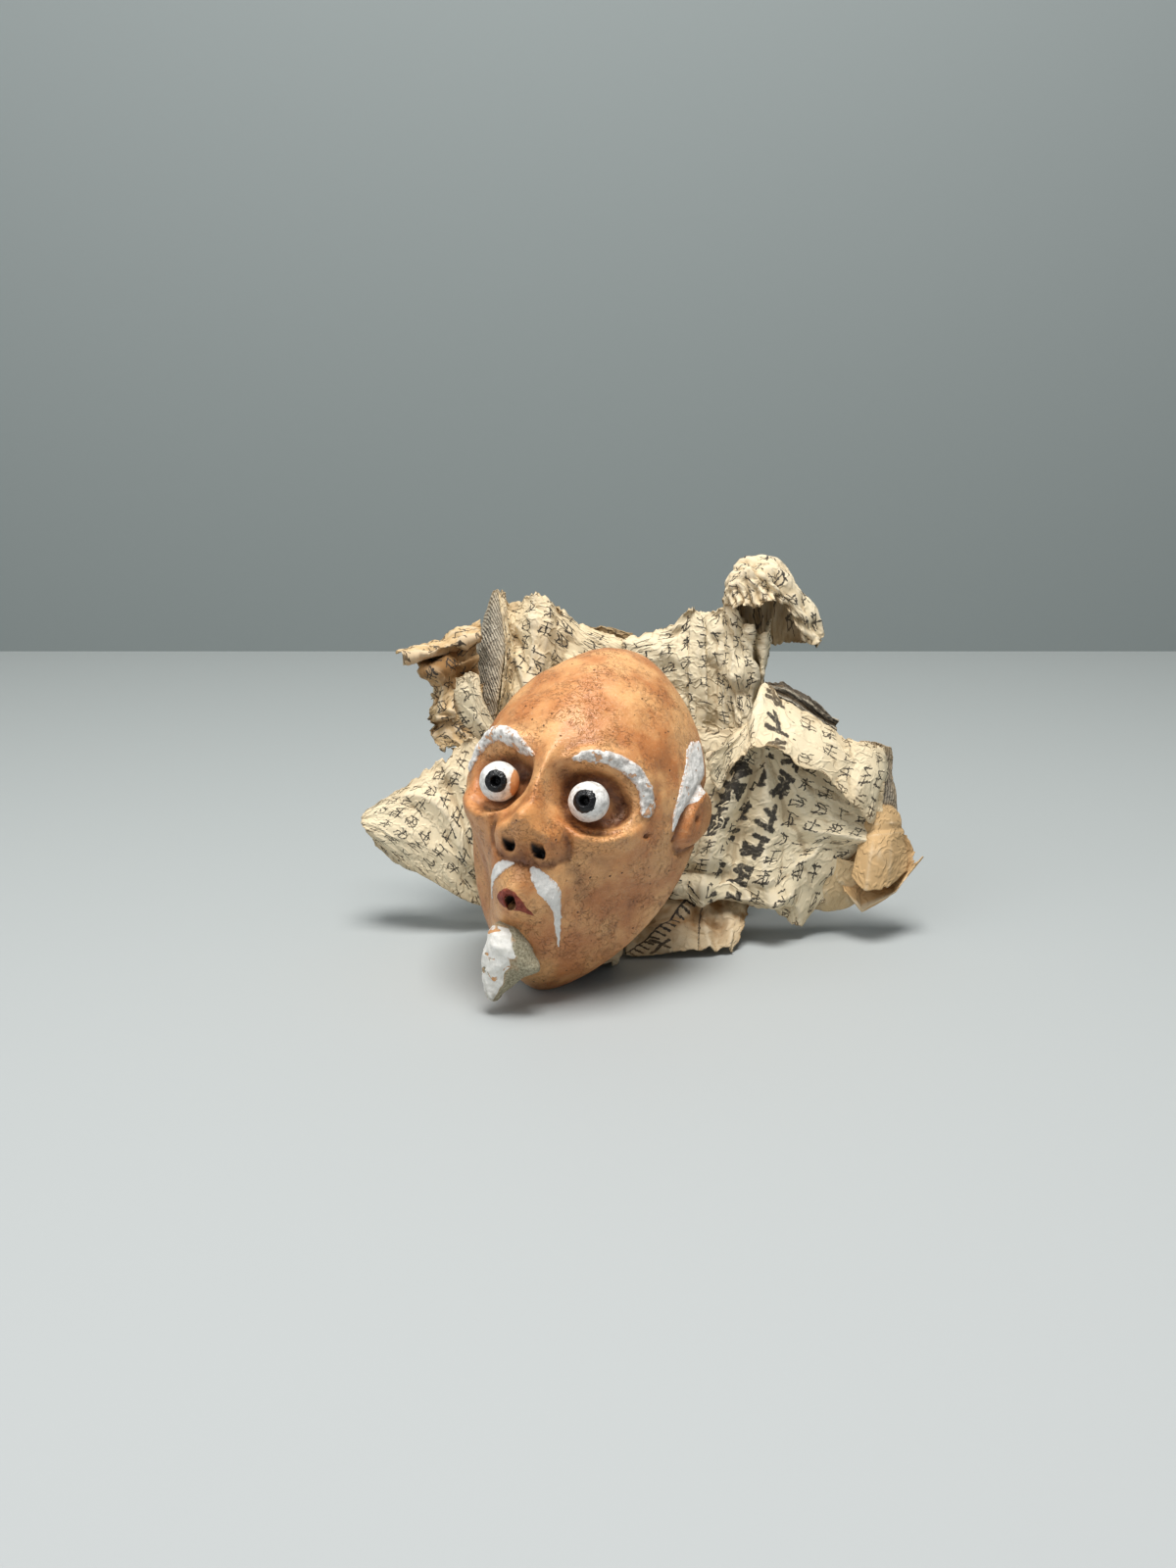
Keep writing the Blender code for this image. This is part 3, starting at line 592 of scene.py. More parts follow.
@dataclass(frozen=True)
class WhitePaintFinish:
    """Thick chalky white paint, dabbed on, worn through to the clay in places."""

    name: str
    wear: float = 0.5
    mottle: float = 0.5
    white: Colour = (0.86, 0.84, 0.80)
    grey: Colour = (0.46, 0.43, 0.40)
    clay: Colour = (0.62, 0.31, 0.14)
    dirt: Colour = (0.25, 0.15, 0.10)

    def build(self) -> bpy.types.Material:
        """Makes the material.

        Returns:
            The material.
        """
        n = Nodes(self.name)
        place = n.here()
        lumps = n.noise(place, 0.9, 4, 0.6)
        n.colour = n.mix(n.ramp(lumps, 0.34, 0.60, 1.0 - self.mottle, 1.0), self.grey, self.white)
        flakes = n.noise(place, 0.55, 4, 0.62, 0.3)
        low = 0.70 - 0.12 * self.wear
        bare = n.ramp(flakes, low, low + 0.03)
        rim = n.times(n.mask("rim"), n.ramp(n.noise(place, 1.8, 3, 0.7), 0.50 - 0.1 * self.wear, 0.62))
        bare = n.most(bare, rim)
        n.lay(n.times(bare, 0.85), self.clay)
        dirt = n.times(n.spots(place, 0.9, 0.07), 0.7)
        n.lay(dirt, self.dirt)
        n.bump(n.minus(n.noise(place, 1.4, 3, 0.6), n.times(bare, 0.4)), 0.22)
        return n.finish(0.72, 0.3)


@dataclass(frozen=True)
class EyeWhiteFinish:
    """A matt white painted ball, grey in its dents, with clay showing where the paint missed."""

    name: str = "eye_white"
    grey: Colour = (0.52, 0.50, 0.47)
    white: Colour = (0.86, 0.845, 0.81)
    clay: Colour = (0.62, 0.29, 0.12)
    speck: Colour = (0.1, 0.08, 0.07)

    def build(self) -> bpy.types.Material:
        """Makes the material.

        Returns:
            The material.
        """
        n = Nodes(self.name)
        place = n.here()
        lumps = n.noise(place, 1.1, 4, 0.6)
        n.colour = n.mix(n.ramp(lumps, 0.30, 0.60), self.grey, self.white)
        ragged = n.plus(n.mask("bare"), n.times(n.noise(place, 1.5, 3, 0.6), 0.5))
        n.lay(n.ramp(ragged, 0.70, 0.80), self.clay)
        n.lay(n.times(n.spots(place, 1.7, 0.10), 0.5), self.speck)
        n.bump(lumps, 0.22)
        return n.finish(0.52, 0.45)


@dataclass(frozen=True)
class PupilFinish:
    """Glossy black paint, dusty grey on the ring, and a deeper black in the hole that is painted shade."""

    name: str = "pupil_black"
    black: Colour = (0.006, 0.006, 0.007)
    dust: Colour = (0.09, 0.095, 0.085)
    # painted shade: the deeper black of the hole
    hole: Colour = (0.002, 0.002, 0.002)

    def build(self) -> bpy.types.Material:
        """Makes the material.

        Returns:
            The material.
        """
        n = Nodes(self.name)
        place = n.here()
        dust = n.ramp(n.noise(place, 2.6, 4, 0.7), 0.52, 0.80, 0, 0.45)
        ring = n.mix(dust, self.black, self.dust)
        # the hole is painted blacker as shade
        n.colour = n.mix(n.mask("pit"), ring, self.hole)
        n.bump(n.noise(place, 2.2, 3, 0.6), 0.18)
        return n.finish(0.20, 0.35)


@dataclass(frozen=True)
class LipFinish:
    """Dark red paint on the puckered mouth, worn at its edge."""

    name: str = "lip_red"
    deep: Colour = (0.15, 0.020, 0.013)
    light: Colour = (0.34, 0.075, 0.045)
    clay: Colour = (0.60, 0.29, 0.12)

    def build(self) -> bpy.types.Material:
        """Makes the material.

        Returns:
            The material.
        """
        n = Nodes(self.name)
        place = n.here()
        mottle = n.noise(place, 1.6, 4, 0.65)
        n.colour = n.mix(n.ramp(mottle, 0.35, 0.68), self.deep, self.light)
        edge = n.times(n.mask("rim"), n.ramp(n.noise(place, 2.2, 3, 0.7), 0.42, 0.6))
        n.lay(n.times(edge, 0.2), self.clay)
        n.bump(mottle, 0.15)
        return n.finish(0.55, 0.3)


@dataclass(frozen=True)
class PlasterFinish:
    """The goatee: khaki plaster that shows under flaking white and orange paint."""

    name: str = "goatee_plaster"
    deep: Colour = (0.17, 0.145, 0.085)
    khaki: Colour = (0.50, 0.45, 0.32)
    orange: Colour = (0.66, 0.34, 0.15)
    chalk: Colour = (0.74, 0.72, 0.66)
    white: Colour = (0.90, 0.88, 0.83)
    dirt: Colour = (0.20, 0.16, 0.10)
    speck: Colour = (0.08, 0.06, 0.04)

    def build(self) -> bpy.types.Material:
        """Makes the material.

        Returns:
            The material.
        """
        n = Nodes(self.name)
        place = n.here()
        grain = n.noise(place, 3.0, 4, 0.75)
        n.colour = n.mix(n.ramp(grain, 0.3, 0.7), self.deep, self.khaki)
        aside = n.mapped(place, (1, 1, 1), (0, 0, 0), (3, 1, 7))
        orange = n.ramp(n.noise(aside, 0.42, 3, 0.6, 0.5), 0.44, 0.48)
        n.lay(n.times(orange, n.mask("front")), self.orange)
        white = n.ramp(n.noise(place, 0.34, 3, 0.55, 0.8), 0.36, 0.385)
        chalk = n.mix(n.ramp(n.noise(place, 1.1, 3, 0.6), 0.35, 0.7), self.chalk, self.white)
        n.lay(n.times(white, n.ramp(n.mask("front"), 0.35, 0.5)), chalk)
        tip = n.times(n.mask("tip"), n.ramp(n.noise(place, 1.0, 3, 0.6), 0.4, 0.7, 0.1, 0.7))
        n.lay(tip, self.dirt)
        n.lay(n.times(n.spots(place, 1.6, 0.07), 0.6), self.speck)
        n.bump(n.plus(n.times(grain, 0.5), n.times(white, 0.6)), 0.18)
        return n.finish(0.82, 0.3)


class Print(Enum):
    """What a piece of newsprint has on it."""

    COLUMNS = "columns of small marks"
    HEADING = "large marks beside small ones"
    HATCH = "a grey tone of fine slanting lines"
    TICKS = "rules with short ticks"
    NONE = "no print"


@dataclass(frozen=True)
class PaperFinish:
    """Old newsprint: cream, fibrous, browned at its edges, with made-up marks printed on it.

    The marks are chance strokes in the cells of a page grid. They spell nothing.
    """

    name: str
    printed: Print = Print.COLUMNS
    turn: float = 0.0  # of the print on the sheet, in degrees
    heading: tuple[float, float] = (0.0, 0.0)  # x of the large marks' column on the page, in millimetres
    block: Edges = (0.0, 0.0, 0.0, 0.0)  # x and y of two corners of a black panel, in millimetres
    tone: Colour = (0.83, 0.72, 0.505)
    stain: Colour = (0.52, 0.35, 0.17)
    staining: float = 0.30
    edge_brown: float = 0.5
    seed: float = 0.0
    small_cell: float = 3.4  # pitch of the marks, in millimetres
    large_cell: float = 5.2
    fibre: Colour = (0.54, 0.43, 0.27)
    # painted highlight on the crests of the folds
    crest_highlight: Colour = (0.80, 0.71, 0.54)
    # painted shade in the valleys of the folds
    creased: Colour = (0.34, 0.225, 0.11)
    # dark brown for soiling and for painted shade under and inside other paper
    shade_and_soil: Colour = (0.27, 0.145, 0.055)
    black: Colour = (0.035, 0.032, 0.03)
    fleck: Colour = (0.20, 0.13, 0.07)

    def strokes(
        self, n: Nodes, page: object, cell: float, weight: float, seed: float, filled: float
    ) -> object:
        """Chance strokes in square cells.

        Args:
            n: The material's nodes.
            page: The place on the page, in millimetres.
            cell: Pitch of the cells, in millimetres.
            weight: Half width of a stroke, as a share of the cell.
            seed: Picks one page among many.
            filled: Share of the cells that hold marks.

        Returns:
            A socket with 1 on ink and 0 on bare paper.
        """
        scaled = n.mapped(page, (1 / cell, 1 / (cell * 0.92), 0), (0, 0, 0), (seed, seed * 1.7, 0))
        inside = n.vector("FRACTION", scaled)
        number = n.vector("FLOOR", scaled)
        dice = []
        for throw in range(4):
            shifted = n.vector("ADD", number, (throw * 17.3, throw * 5.1, 0))
            thrown = n.add("ShaderNodeTexWhiteNoise", {"Vector": shifted}, noise_dimensions="2D")
            dice += n.split(thrown.outputs["Color"])
        x, y, _ = n.split(inside)
        ink: object = 0.0
        falling = n.times(n.minus(y, x), 0.7)
        rising = n.times(n.plus(x, y), 0.7)
        bars = (  # run, the other way, lowest level, spread of levels, middle and half length
            (x, y, 0.16, 0.16, 0.50, 0.33),
            (x, y, 0.44, 0.16, 0.50, 0.27),
            (y, x, 0.40, 0.22, 0.50, 0.33),
            (y, x, 0.18, 0.14, 0.36, 0.16),
            (x, y, 0.72, 0.14, 0.54, 0.25),
            (rising, falling, -0.16, 0.14, 0.48, 0.18),
            (falling, rising, 0.66, 0.20, 0.12, 0.17),
        )
        for bar, (run, over, low, spread, middle, reach) in enumerate(bars):
            level = n.math("MULTIPLY_ADD", dice[bar], spread, low)
            lean = n.times(n.minus(dice[bar + 5], 0.5), 0.7)
            along = n.minus(run, middle)
            off = n.minus(n.minus(over, level), n.times(along, lean))
            beyond = n.most(n.minus(n.absolute(along), reach), 0.0)
            gap = n.math("SQRT", n.plus(n.times(off, off), n.times(beyond, beyond)))
            stroke = n.ramp(gap, weight * 0.75, weight * 1.3, 1.0, 0.0)
            used = n.above(dice[(bar * 5 + 4) % 12], 0.20 + 0.05 * bar)
            ink = n.most(ink, n.times(stroke, used))
        centre = n.math("MULTIPLY_ADD", dice[10], 0.14, 0.18)
        ring = n.gap(n.vector("DISTANCE", inside, (0.5, 0.46, 0)), centre)
        arc = n.times(n.ramp(ring, weight * 0.7, weight * 1.4, 1.0, 0.0), n.above(x, 0.5))
        arc = n.times(arc, n.times(n.below(y, 0.8), n.above(dice[11], 0.62)))
        ink = n.most(ink, arc)
        return n.times(ink, n.below(dice[9], filled))

    def ink(self, n: Nodes, flat: object) -> object:
        """The print on the page.

        Args:
            n: The material's nodes.
            flat: The place on the page, in millimetres.

        Returns:
            A socket from 0 to 1.
        """
        page = n.mapped(flat, (1, 1, 0), (0, 0, math.radians(self.turn)))
        shake = n.add("ShaderNodeTexNoise", {"Vector": page, "Scale": 2.6, "Detail": 1.0}).outputs["Color"]
        drift = n.vector("MULTIPLY", n.vector("SUBTRACT", shake, (0.5, 0.5, 0.5)), (0.45, 0.45, 0))
        page = n.vector("ADD", page, drift)
        x, y, _ = n.split(page)
        if self.printed is Print.HATCH:
            inputs = {"Vector": page, "Scale": 0.88, "Distortion": 0.5}
            lines = n.add("ShaderNodeTexWave", inputs, bands_direction="DIAGONAL")
            tone = n.ramp(n.noise(page, 0.22, 3, 0.6), 0.35, 0.7, 0.65, 1.0)
            return n.times(n.ramp(lines.outputs["Fac"], 0.35, 0.60), tone)
        if self.printed is Print.TICKS:
            ticks = n.ramp(n.math("PINGPONG", x, 0.55), 0.14, 0.22, 1.0, 0.0)
            band = n.between(y, -1.7, 0.2)
            rule = n.ramp(n.gap(y, 0.2), 0.12, 0.2, 1.0, 0.0)
            bar = n.ramp(n.absolute(n.plus(y, 2.6)), 0.22, 0.32, 1.0, 0.0)
            bar = n.times(bar, n.ramp(n.gap(x, 4.6), 1.9, 2.0, 1.0, 0.0))
            post = n.ramp(n.gap(x, 4.9), 0.22, 0.32, 1.0, 0.0)
            post = n.times(post, n.ramp(n.absolute(n.plus(y, 2.2)), 1.9, 2.0, 1.0, 0.0))
            bend = n.plus(n.times(x, 0.67), n.times(y, -0.74))
            thin = n.ramp(n.gap(bend, 11.0), 0.09, 0.17, 1.0, 0.0)
            marks = n.most(n.times(ticks, band), n.most(rule, n.most(bar, post)))
            return n.most(marks, n.times(thin, 0.8))
        small = self.strokes(n, page, self.small_cell, 0.030, self.seed, 0.90)
        if self.printed is Print.HEADING:
            large = self.strokes(n, page, self.large_cell, 0.080, self.seed + 3.4, 1.0)
            start, end = self.heading
            inside = n.between(x, start, end)
            small = n.most(n.times(large, inside), n.times(small, n.minus(1.0, inside)))
            left, low, right, high = self.block
            within = n.between(x, left, right)
            within = n.times(within, n.between(y, low, high))
            small = n.gap(within, n.most(small, n.times(large, within)))
        return small

    def build(self) -> bpy.types.Material:
        """Makes the material.

        Returns:
            The material.
        """
        n = Nodes(self.name)
        flat = n.uv()
        place = n.here()
        fibre = n.noise(n.mapped(flat, (1, 2.6, 1)), 2.4, 4, 0.7)
        n.colour = n.mix(n.ramp(fibre, 0.3, 0.7, 0, 0.22), self.tone, self.fibre)
        old = n.ramp(n.noise(place, 0.10, 3, 0.6), 0.40, 0.72, 0, self.staining)
        n.lay(old, self.stain)
        # painted highlight on fold crests, from the ridge mask
        pale = n.ramp(n.mask("ridge"), 0.25, 1.0, 0, 0.42)
        n.lay(pale, self.crest_highlight)
        # painted shade in fold valleys, from the valley mask
        dark = n.ramp(n.mask("valley"), 0.2, 1.0, 0, 0.5)
        n.lay(dark, self.creased)
        # brown soiling and painted shade, from the sheet's rows
        n.lay(n.mask("shade_and_soil"), self.shade_and_soil)
        if self.printed is not Print.NONE:
            worn = n.ramp(n.noise(flat, 1.7, 3, 0.6), 0.28, 0.5, 0.65, 0.96)
            n.lay(n.times(self.ink(n, flat), worn), self.black)
        ragged = n.times(n.mask("edge"), n.ramp(n.noise(flat, 0.5, 3, 0.6), 0.3, 0.6, 0.3, 1.0))
        n.lay(n.times(ragged, self.edge_brown), self.stain)
        flecks = n.times(n.spots(place, 1.1, 0.07), 0.5)
        n.lay(flecks, self.fleck)
        folds = n.gap(n.noise(flat, 0.42, 2, 0.5, 0.3), 0.5)
        n.bump(n.plus(n.times(fibre, 0.10), n.ramp(folds, 0.0, 0.09, 1.0, 0.0)), 0.12)
        return n.finish(0.88, 0.2)


@dataclass(frozen=True)
class CardFinish:
    """Rolled grey-brown card with the pale line of its wound edge."""

    name: str = "rolled_card"
    deep: Colour = (0.36, 0.26, 0.15)
    light: Colour = (0.54, 0.42, 0.27)
    edge: Colour = (0.20, 0.14, 0.08)

    def build(self) -> bpy.types.Material:
        """Makes the material.

        Returns:
            The material.
        """
        n = Nodes(self.name)
        place = n.here()
        fibre = n.noise(n.mapped(place, (1, 1, 0.5)), 2.0, 4, 0.7)
        n.colour = n.mix(n.ramp(fibre, 0.3, 0.7), self.deep, self.light)
        inputs = {"Vector": n.mapped(place, (1, 1, 1), (0.5, 0, 0)), "Scale": 0.05}
        wound = n.add("ShaderNodeTexWave", inputs, bands_direction="Z")
        n.lay(n.ramp(wound.outputs["Fac"], 0.96, 0.99, 0, 0.5), self.edge)
        n.bump(fibre, 0.06)
        return n.finish(0.85, 0.25)


# ---- The face ----


@dataclass(frozen=True)
class Dab:
    """A soft push out of the face (or into it), in millimetres."""

    x: float
    z: float
    half_width: float
    half_height: float
    push: float
    turn: float = 0.0
    power: float = 2.0
    sides: tuple[int, ...] = (1, -1)
    # pit marks a bored hole whose inside is painted black as shade
    pit: bool = False  # a bored hole, black inside

    def field(self, x: Array, z: Array) -> Array:
        """How strongly the dab works at each place.

        Args:
            x, z: Places on the face.

        Returns:
            One value per place, from 0 to 1.
        """
        total = np.zeros_like(x)
        for side in self.sides:
            angle = math.radians(side * self.turn)
            dx, dz = x - side * self.x, z - self.z
            along = (math.cos(angle) * dx + math.sin(angle) * dz) / self.half_width
            over = (math.cos(angle) * dz - math.sin(angle) * dx) / self.half_height
            total = np.maximum(total, bell(np.hypot(along, over), self.power))
        return total


@dataclass(frozen=True)
class Ridge:
    """A raised or sunk line on the face, in millimetres, made on both sides.

    Each point is x, z, half width and push.
    """

    path: tuple[tuple[float, float, float, float], ...]

    def height(self, x: Array, z: Array) -> Array:
        """How far the ridge lifts the clay at each place.

        Args:
            x, z: Places on the face.

        Returns:
            One push per place, in millimetres.
        """
        best = np.zeros_like(x)
        dense = along_curve(self.path, np.linspace(0, 1, 6 * len(self.path)))
        for side in (1, -1):
            for start, end in zip(dense[:-1], dense[1:]):
                run = (end[0] - start[0], end[1] - start[1])
                length = max(run[0] ** 2 + run[1] ** 2, 1e-9)
                dx, dz = side * x - start[0], z - start[1]
                t = np.clip((dx * run[0] + dz * run[1]) / length, 0, 1)
                gap = np.hypot(dx - t * run[0], dz - t * run[1])
                width = start[2] + t * (end[2] - start[2])
                push = (start[3] + t * (end[3] - start[3])) * bell(gap / width)
                best = np.where(np.abs(push) > np.abs(best), push, best)
        return best


MIDDLE = RIGHT = (1,)  # a dab's sides; one in the middle is made once
LEFT = (-1,)


@dataclass
class Head:
    """The clay shell with its painted eyes, brows, moustache, sideburns, lips and goatee."""

    yaw: float = math.radians(24.0)
    lean: float = math.radians(25.0)
    tilt: float = math.radians(18.0)
    from_tube: tuple[float, float] = (1.0, 3.0)  # x and y of the rim's middle from the tube's axis
    rim_height: float = 26.0
    up: float = 28.0
    down: float = 30.0
    half_width: float = 19.0
    depth: float = 26.0
    wall: float = 2.0
    cells: int = 200
    eyes_at: tuple[tuple[float, float], ...] = ((7.2, -2.8), (7.6, -2.8))  # x and z, left and right
    gaze: tuple[tuple[float, float], ...] = ((11, 14), (5, 12))  # turn and rise in degrees, left and right
    eye_set_back: float = 0.85
    eye_radius: float = 3.1
    eye_dish: float = 1.9  # how deep the balls are bored behind the pupils
    pupil_dish: float = 1.5
    pupil_wall: float = 0.15
    pupil_reach: tuple[float, float] = (0.60, 0.64)  # radians from its middle to its rim, left and right
    mouth: tuple[float, float, float] = (-0.36, -20.2, 0.84)  # x, z and radius of the hole in the lips
    ear_lean: float = math.radians(26.0)
    ear_at: tuple[float, float] = (-3.4, 2.4)  # y and z
    ear_size: tuple[float, float] = (3.7, 6.2)  # half width and half height
    ear_pits: Path = ((-4.6, 2.0, 0.45), (-7.9, -2.6, 0.5), (-13.8, -4.4, 0.4))  # y, z and radius
    cheek_draw: tuple[float, float] = (0.26, 0.13)  # how far the left and right cheeks draw in
    body: str = "head"
    place: Matrix = field(default_factory=Matrix)
    finishes: dict[str, bpy.types.Material] = field(default_factory=dict)

    dabs: tuple[Dab, ...] = (
        Dab(7.3, -2.0, 5.3, 4.5, -4.2, -8.0, 6.0),  # eye socket
        Dab(5.4, 0.6, 3.0, 3.0, -1.6, 20.0, 4.0, sides=LEFT),
        Dab(0.9, 1.4, 1.4, 3.2, 1.5, sides=MIDDLE),  # bridge of the nose
        Dab(0.7, -4.0, 1.9, 3.6, 2.3, sides=MIDDLE),
        Dab(0.5, -9.3, 3.2, 2.8, 4.5, power=2.6, sides=MIDDLE),  # tip of the nose
        Dab(0.5, -8.4, 1.9, 2.6, 0.8, sides=MIDDLE),
        Dab(3.9, -10.6, 1.8, 1.8, 2.3, power=2.4, sides=RIGHT),  # nose wings
        Dab(3.5, -10.8, 1.9, 1.9, 2.4, power=2.6, sides=LEFT),
        Dab(4.0, 0.4, 1.9, 2.4, -1.0, 30.0),  # inner corner of the socket
        Dab(11.8, -0.6, 3.0, 3.2, -0.6),  # outer hollow
        Dab(9.0, 8.6, 6.0, 2.4, 0.4),  # above the brow
        Dab(14.2, -6.8, 3.4, 3.0, 1.3),  # cheekbone
        Dab(11.0, -14.6, 4.2, 4.6, -1.7, 20.0),  # hollow of the cheek
        Dab(8.5, -22.0, 4.0, 3.6, -0.4, 20.0),
        Dab(-0.2, -19.6, 5.3, 5.2, 3.1, sides=MIDDLE),  # muzzle
        Dab(-0.4, -20.2, 3.2, 2.3, 0.8, sides=MIDDLE),  # pursed lips
        Dab(0.0, -26.6, 4.4, 2.8, 1.3, sides=MIDDLE),  # chin
        Dab(6.0, 13.0, 4.0, 3.5, -0.3),  # dents of the brow
        Dab(0.5, 8.0, 5.0, 3.0, 0.3, sides=MIDDLE),
        Dab(2.7, -12.2, 0.85, 0.60, -3.0, power=4.0, sides=RIGHT, pit=True),  # nostrils
        Dab(2.2, -12.2, 0.85, 0.60, -3.0, power=4.0, sides=LEFT, pit=True),
        Dab(-0.36, -20.2, 0.85, 0.85, -3.4, power=4.0, sides=MIDDLE, pit=True),  # mouth hole
    )
    ridges: tuple[Ridge, ...] = (
        # brow
        Ridge(((3.4, 2.2, 1.0, 0.8), (6.4, 4.1, 1.4, 1.6), (9.4, 4.9, 1.5, 1.7), (12.2, 4.5, 1.5, 1.6),
               (14.2, 2.6, 1.4, 1.4), (15.0, -0.8, 1.3, 0.9))),
        # bag under the eye
        Ridge(((5.4, -7.6, 0.8, 0.7), (7.6, -8.6, 1.1, 1.7), (10.3, -8.6, 1.2, 2.1), (12.7, -7.5, 1.1, 1.9),
               (14.4, -5.3, 1.0, 1.2), (15.4, -2.8, 0.8, 0.4))),
        Ridge(((4.6, -6.2, 0.4, -0.4), (7.2, -7.2, 0.5, -0.7), (9.3, -7.2, 0.5, -0.7),
               (12.2, -5.8, 0.4, -0.4))),
        Ridge(((5.5, -7.6, 0.6, -0.4), (6.2, -9.4, 0.7, -1.0), (6.1, -11.4, 0.7, -1.0),
               (4.8, -13.0, 0.6, -0.5))),
        Ridge(((6.6, -12.0, 1.1, -0.5), (8.2, -14.2, 1.7, -1.0), (8.6, -18.0, 1.8, -0.8),
               (7.8, -22.0, 1.6, -0.3))),
        # under the nose
        Ridge(((-1.6, -13.5, 0.7, -0.3), (0.2, -13.9, 0.8, -0.7), (2.4, -13.9, 0.8, -0.7),
               (4.2, -13.4, 0.7, -0.5))),
        # under the lip
        Ridge(((0.0, -23.2, 1.5, -0.5), (2.6, -23.0, 1.3, -0.4), (4.6, -22.0, 1.2, -0.2))),
        # creases round the ball
        Ridge(((3.6, -3.4, 0.35, -0.4), (4.4, -5.3, 0.35, -0.5), (6.2, -6.7, 0.35, -0.6),
               (8.6, -7.0, 0.35, -0.5), (10.8, -6.0, 0.3, -0.3))),
        Ridge(((3.1, -2.0, 0.35, -0.4), (3.6, -0.2, 0.4, -0.5), (5.4, 1.3, 0.4, -0.6), (8.2, 1.9, 0.4, -0.5),
               (11.4, 1.2, 0.35, -0.3))),
        # temple
        Ridge(((15.8, 12.0, 1.2, -0.25), (15.2, 6.0, 1.2, -0.25))),
    )

    brows: tuple[Path, Path] = (  # left and right
        ((1.9, 1.9, 0.2), (4.6, 3.1, 0.9), (7.8, 4.4, 1.3), (10.8, 4.5, 1.35), (13.2, 3.2, 1.25),
         (14.6, 0.9, 0.9), (15.0, -1.2, 0.6)),
        ((4.0, 2.5, 0.2), (6.5, 3.7, 0.8), (9.4, 4.2, 1.0), (11.9, 3.9, 1.25), (13.6, 2.6, 1.1),
         (14.5, 0.5, 0.9), (14.7, -2.0, 0.75)),
    )
    moustaches: tuple[Path, Path] = (
        ((0.9, -14.6, 0.15), (2.2, -15.0, 0.8), (3.7, -15.9, 1.1), (4.8, -17.2, 0.7), (5.3, -18.5, 0.3),
         (5.6, -19.8, 0.08)),
        ((1.7, -14.5, 0.4), (2.9, -15.4, 1.1), (4.5, -16.9, 1.6), (5.4, -18.4, 0.9), (5.7, -19.6, 0.5),
         (5.8, -21.4, 0.35), (5.8, -24.0, 0.06)),
    )
    sideburn: Path = (  # y, z and half width, for it is laid on from beside the face
        (-2.4, 15.2, 0.3), (-3.2, 13.2, 2.4), (-4.6, 10.8, 3.7), (-6.5, 8.0, 3.2), (-8.2, 5.0, 2.2),
        (-9.1, 2.6, 1.5), (-9.5, 0.7, 1.0), (-9.4, -1.8, 0.15),
    )
    lip_line: Path = (
        (-3.1, -19.7, 0.25), (-2.2, -19.8, 1.0), (-0.6, -20.05, 1.45), (0.9, -20.3, 1.1), (2.0, -20.7, 0.5),
        (3.0, -21.05, 0.08),
    )
    beard: tuple[tuple[float, float, float, float], ...] = (  # x, y, z and radius from the chin to the tip
        (-1.6, -14.8, -22.0, 0.8), (-1.3, -15.3, -24.0, 3.0), (-0.9, -14.7, -27.0, 3.9),
        (-1.5, -13.4, -30.3, 3.0), (-2.1, -12.4, -33.0, 1.6), (-2.3, -11.9, -34.6, 0.8),
    )
    beard_knob: tuple[float, float, float] = (2.4, -14.2, -28.4)

    def __post_init__(self) -> None:
        """Works out where the head lies."""
        low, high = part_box("finger_tube")
        middle = (low + high) / 2
        turned = (
            Matrix.Rotation(self.tilt, 4, "Y")
            @ Matrix.Rotation(-self.lean, 4, "X")
            @ Matrix.Rotation(-self.yaw, 4, "Z")
        )
        across, forward = self.from_tube
        spot = (middle.x + across * MM, middle.y + forward * MM, self.rim_height * MM)
        self.place = Matrix.Translation(spot) @ turned

    def section(self, rise: Array) -> tuple[Array, Array]:
        """Half width and depth of the bare egg at a share of its height."""
        half_width = self.half_width * (1 + 0.05 * rise - 0.12 * rise**2 - 0.2 * rise**4)
        return half_width, self.depth * (1 - 0.08 * rise**2)

    def egg(self, shares: Array) -> Array:
        """Places on the bare egg.

        Args:
            shares: An (n, 2) array of shares of a square from 0 to 1.

        Returns:
            An (n, 3) array in millimetres.
        """
        across, upward = disc(shares)
        reach = np.maximum(np.hypot(across, upward), 1e-9)
        polar = np.minimum(reach, 1.0) * math.pi / 2
        side, rise = across / reach * np.sin(polar), upward / reach * np.sin(polar)
        half_width, depth = self.section(rise)
        height = np.where(rise > 0, self.up, self.down) * rise
        return columns(half_width * side, -depth * np.cos(polar), height)

    def ear(self, places: Array) -> tuple[Array, Array, Array]:
        """The flat ears at the rim.

        Args:
            places: An (n, 3) array of places on the egg.

        Returns:
            Push along the normal, how far the rim juts back, and how deep in a pit each place is.
        """
        x, y, z = places.T
        beside = smooth_step(9.0, 14.0, np.abs(x))
        dy, dz = y - self.ear_at[0], z - self.ear_at[1]
        across = (math.cos(self.ear_lean) * dy - math.sin(self.ear_lean) * dz) / self.ear_size[0]
        along = (math.cos(self.ear_lean) * dz + math.sin(self.ear_lean) * dy) / self.ear_size[1]
        reach = np.hypot(across, along)
        push = 1.1 * (1 - smooth_step(0.70, 1.0, reach)) - 0.5 * bell((reach - 1.08) / 0.14)
        push -= 0.45 * bell(np.hypot((dy + 1.6) / 0.9, (dz + 0.2) / 1.5))
        pits = np.zeros_like(x)
        for spot_y, spot_z, radius in self.ear_pits:
            pits += bell(np.hypot(y - spot_y, z - spot_z) / radius, 4)
        jut = 1.7 * bell((z - 3.8) / 4.0, 4) * smooth_step(-3.0, 0.0, y)
        return beside * (push - 0.9 * pits), beside * jut, beside * pits

    def draw_in(self, places: Array) -> Array:
        """Draws in the lower face.

        Args:
            places: An (n, 3) array of places on the egg.

        Returns:
            The share by which each place moves towards the middle.
        """
        x, y, z = places.T
        level = bell((z + 16.5) / 7.5)
        band = smooth_step(-0.5, -7.0, y) * smooth_step(-24.0, -15.0, y)
        return level * band * np.where(x < 0, *self.cheek_draw)

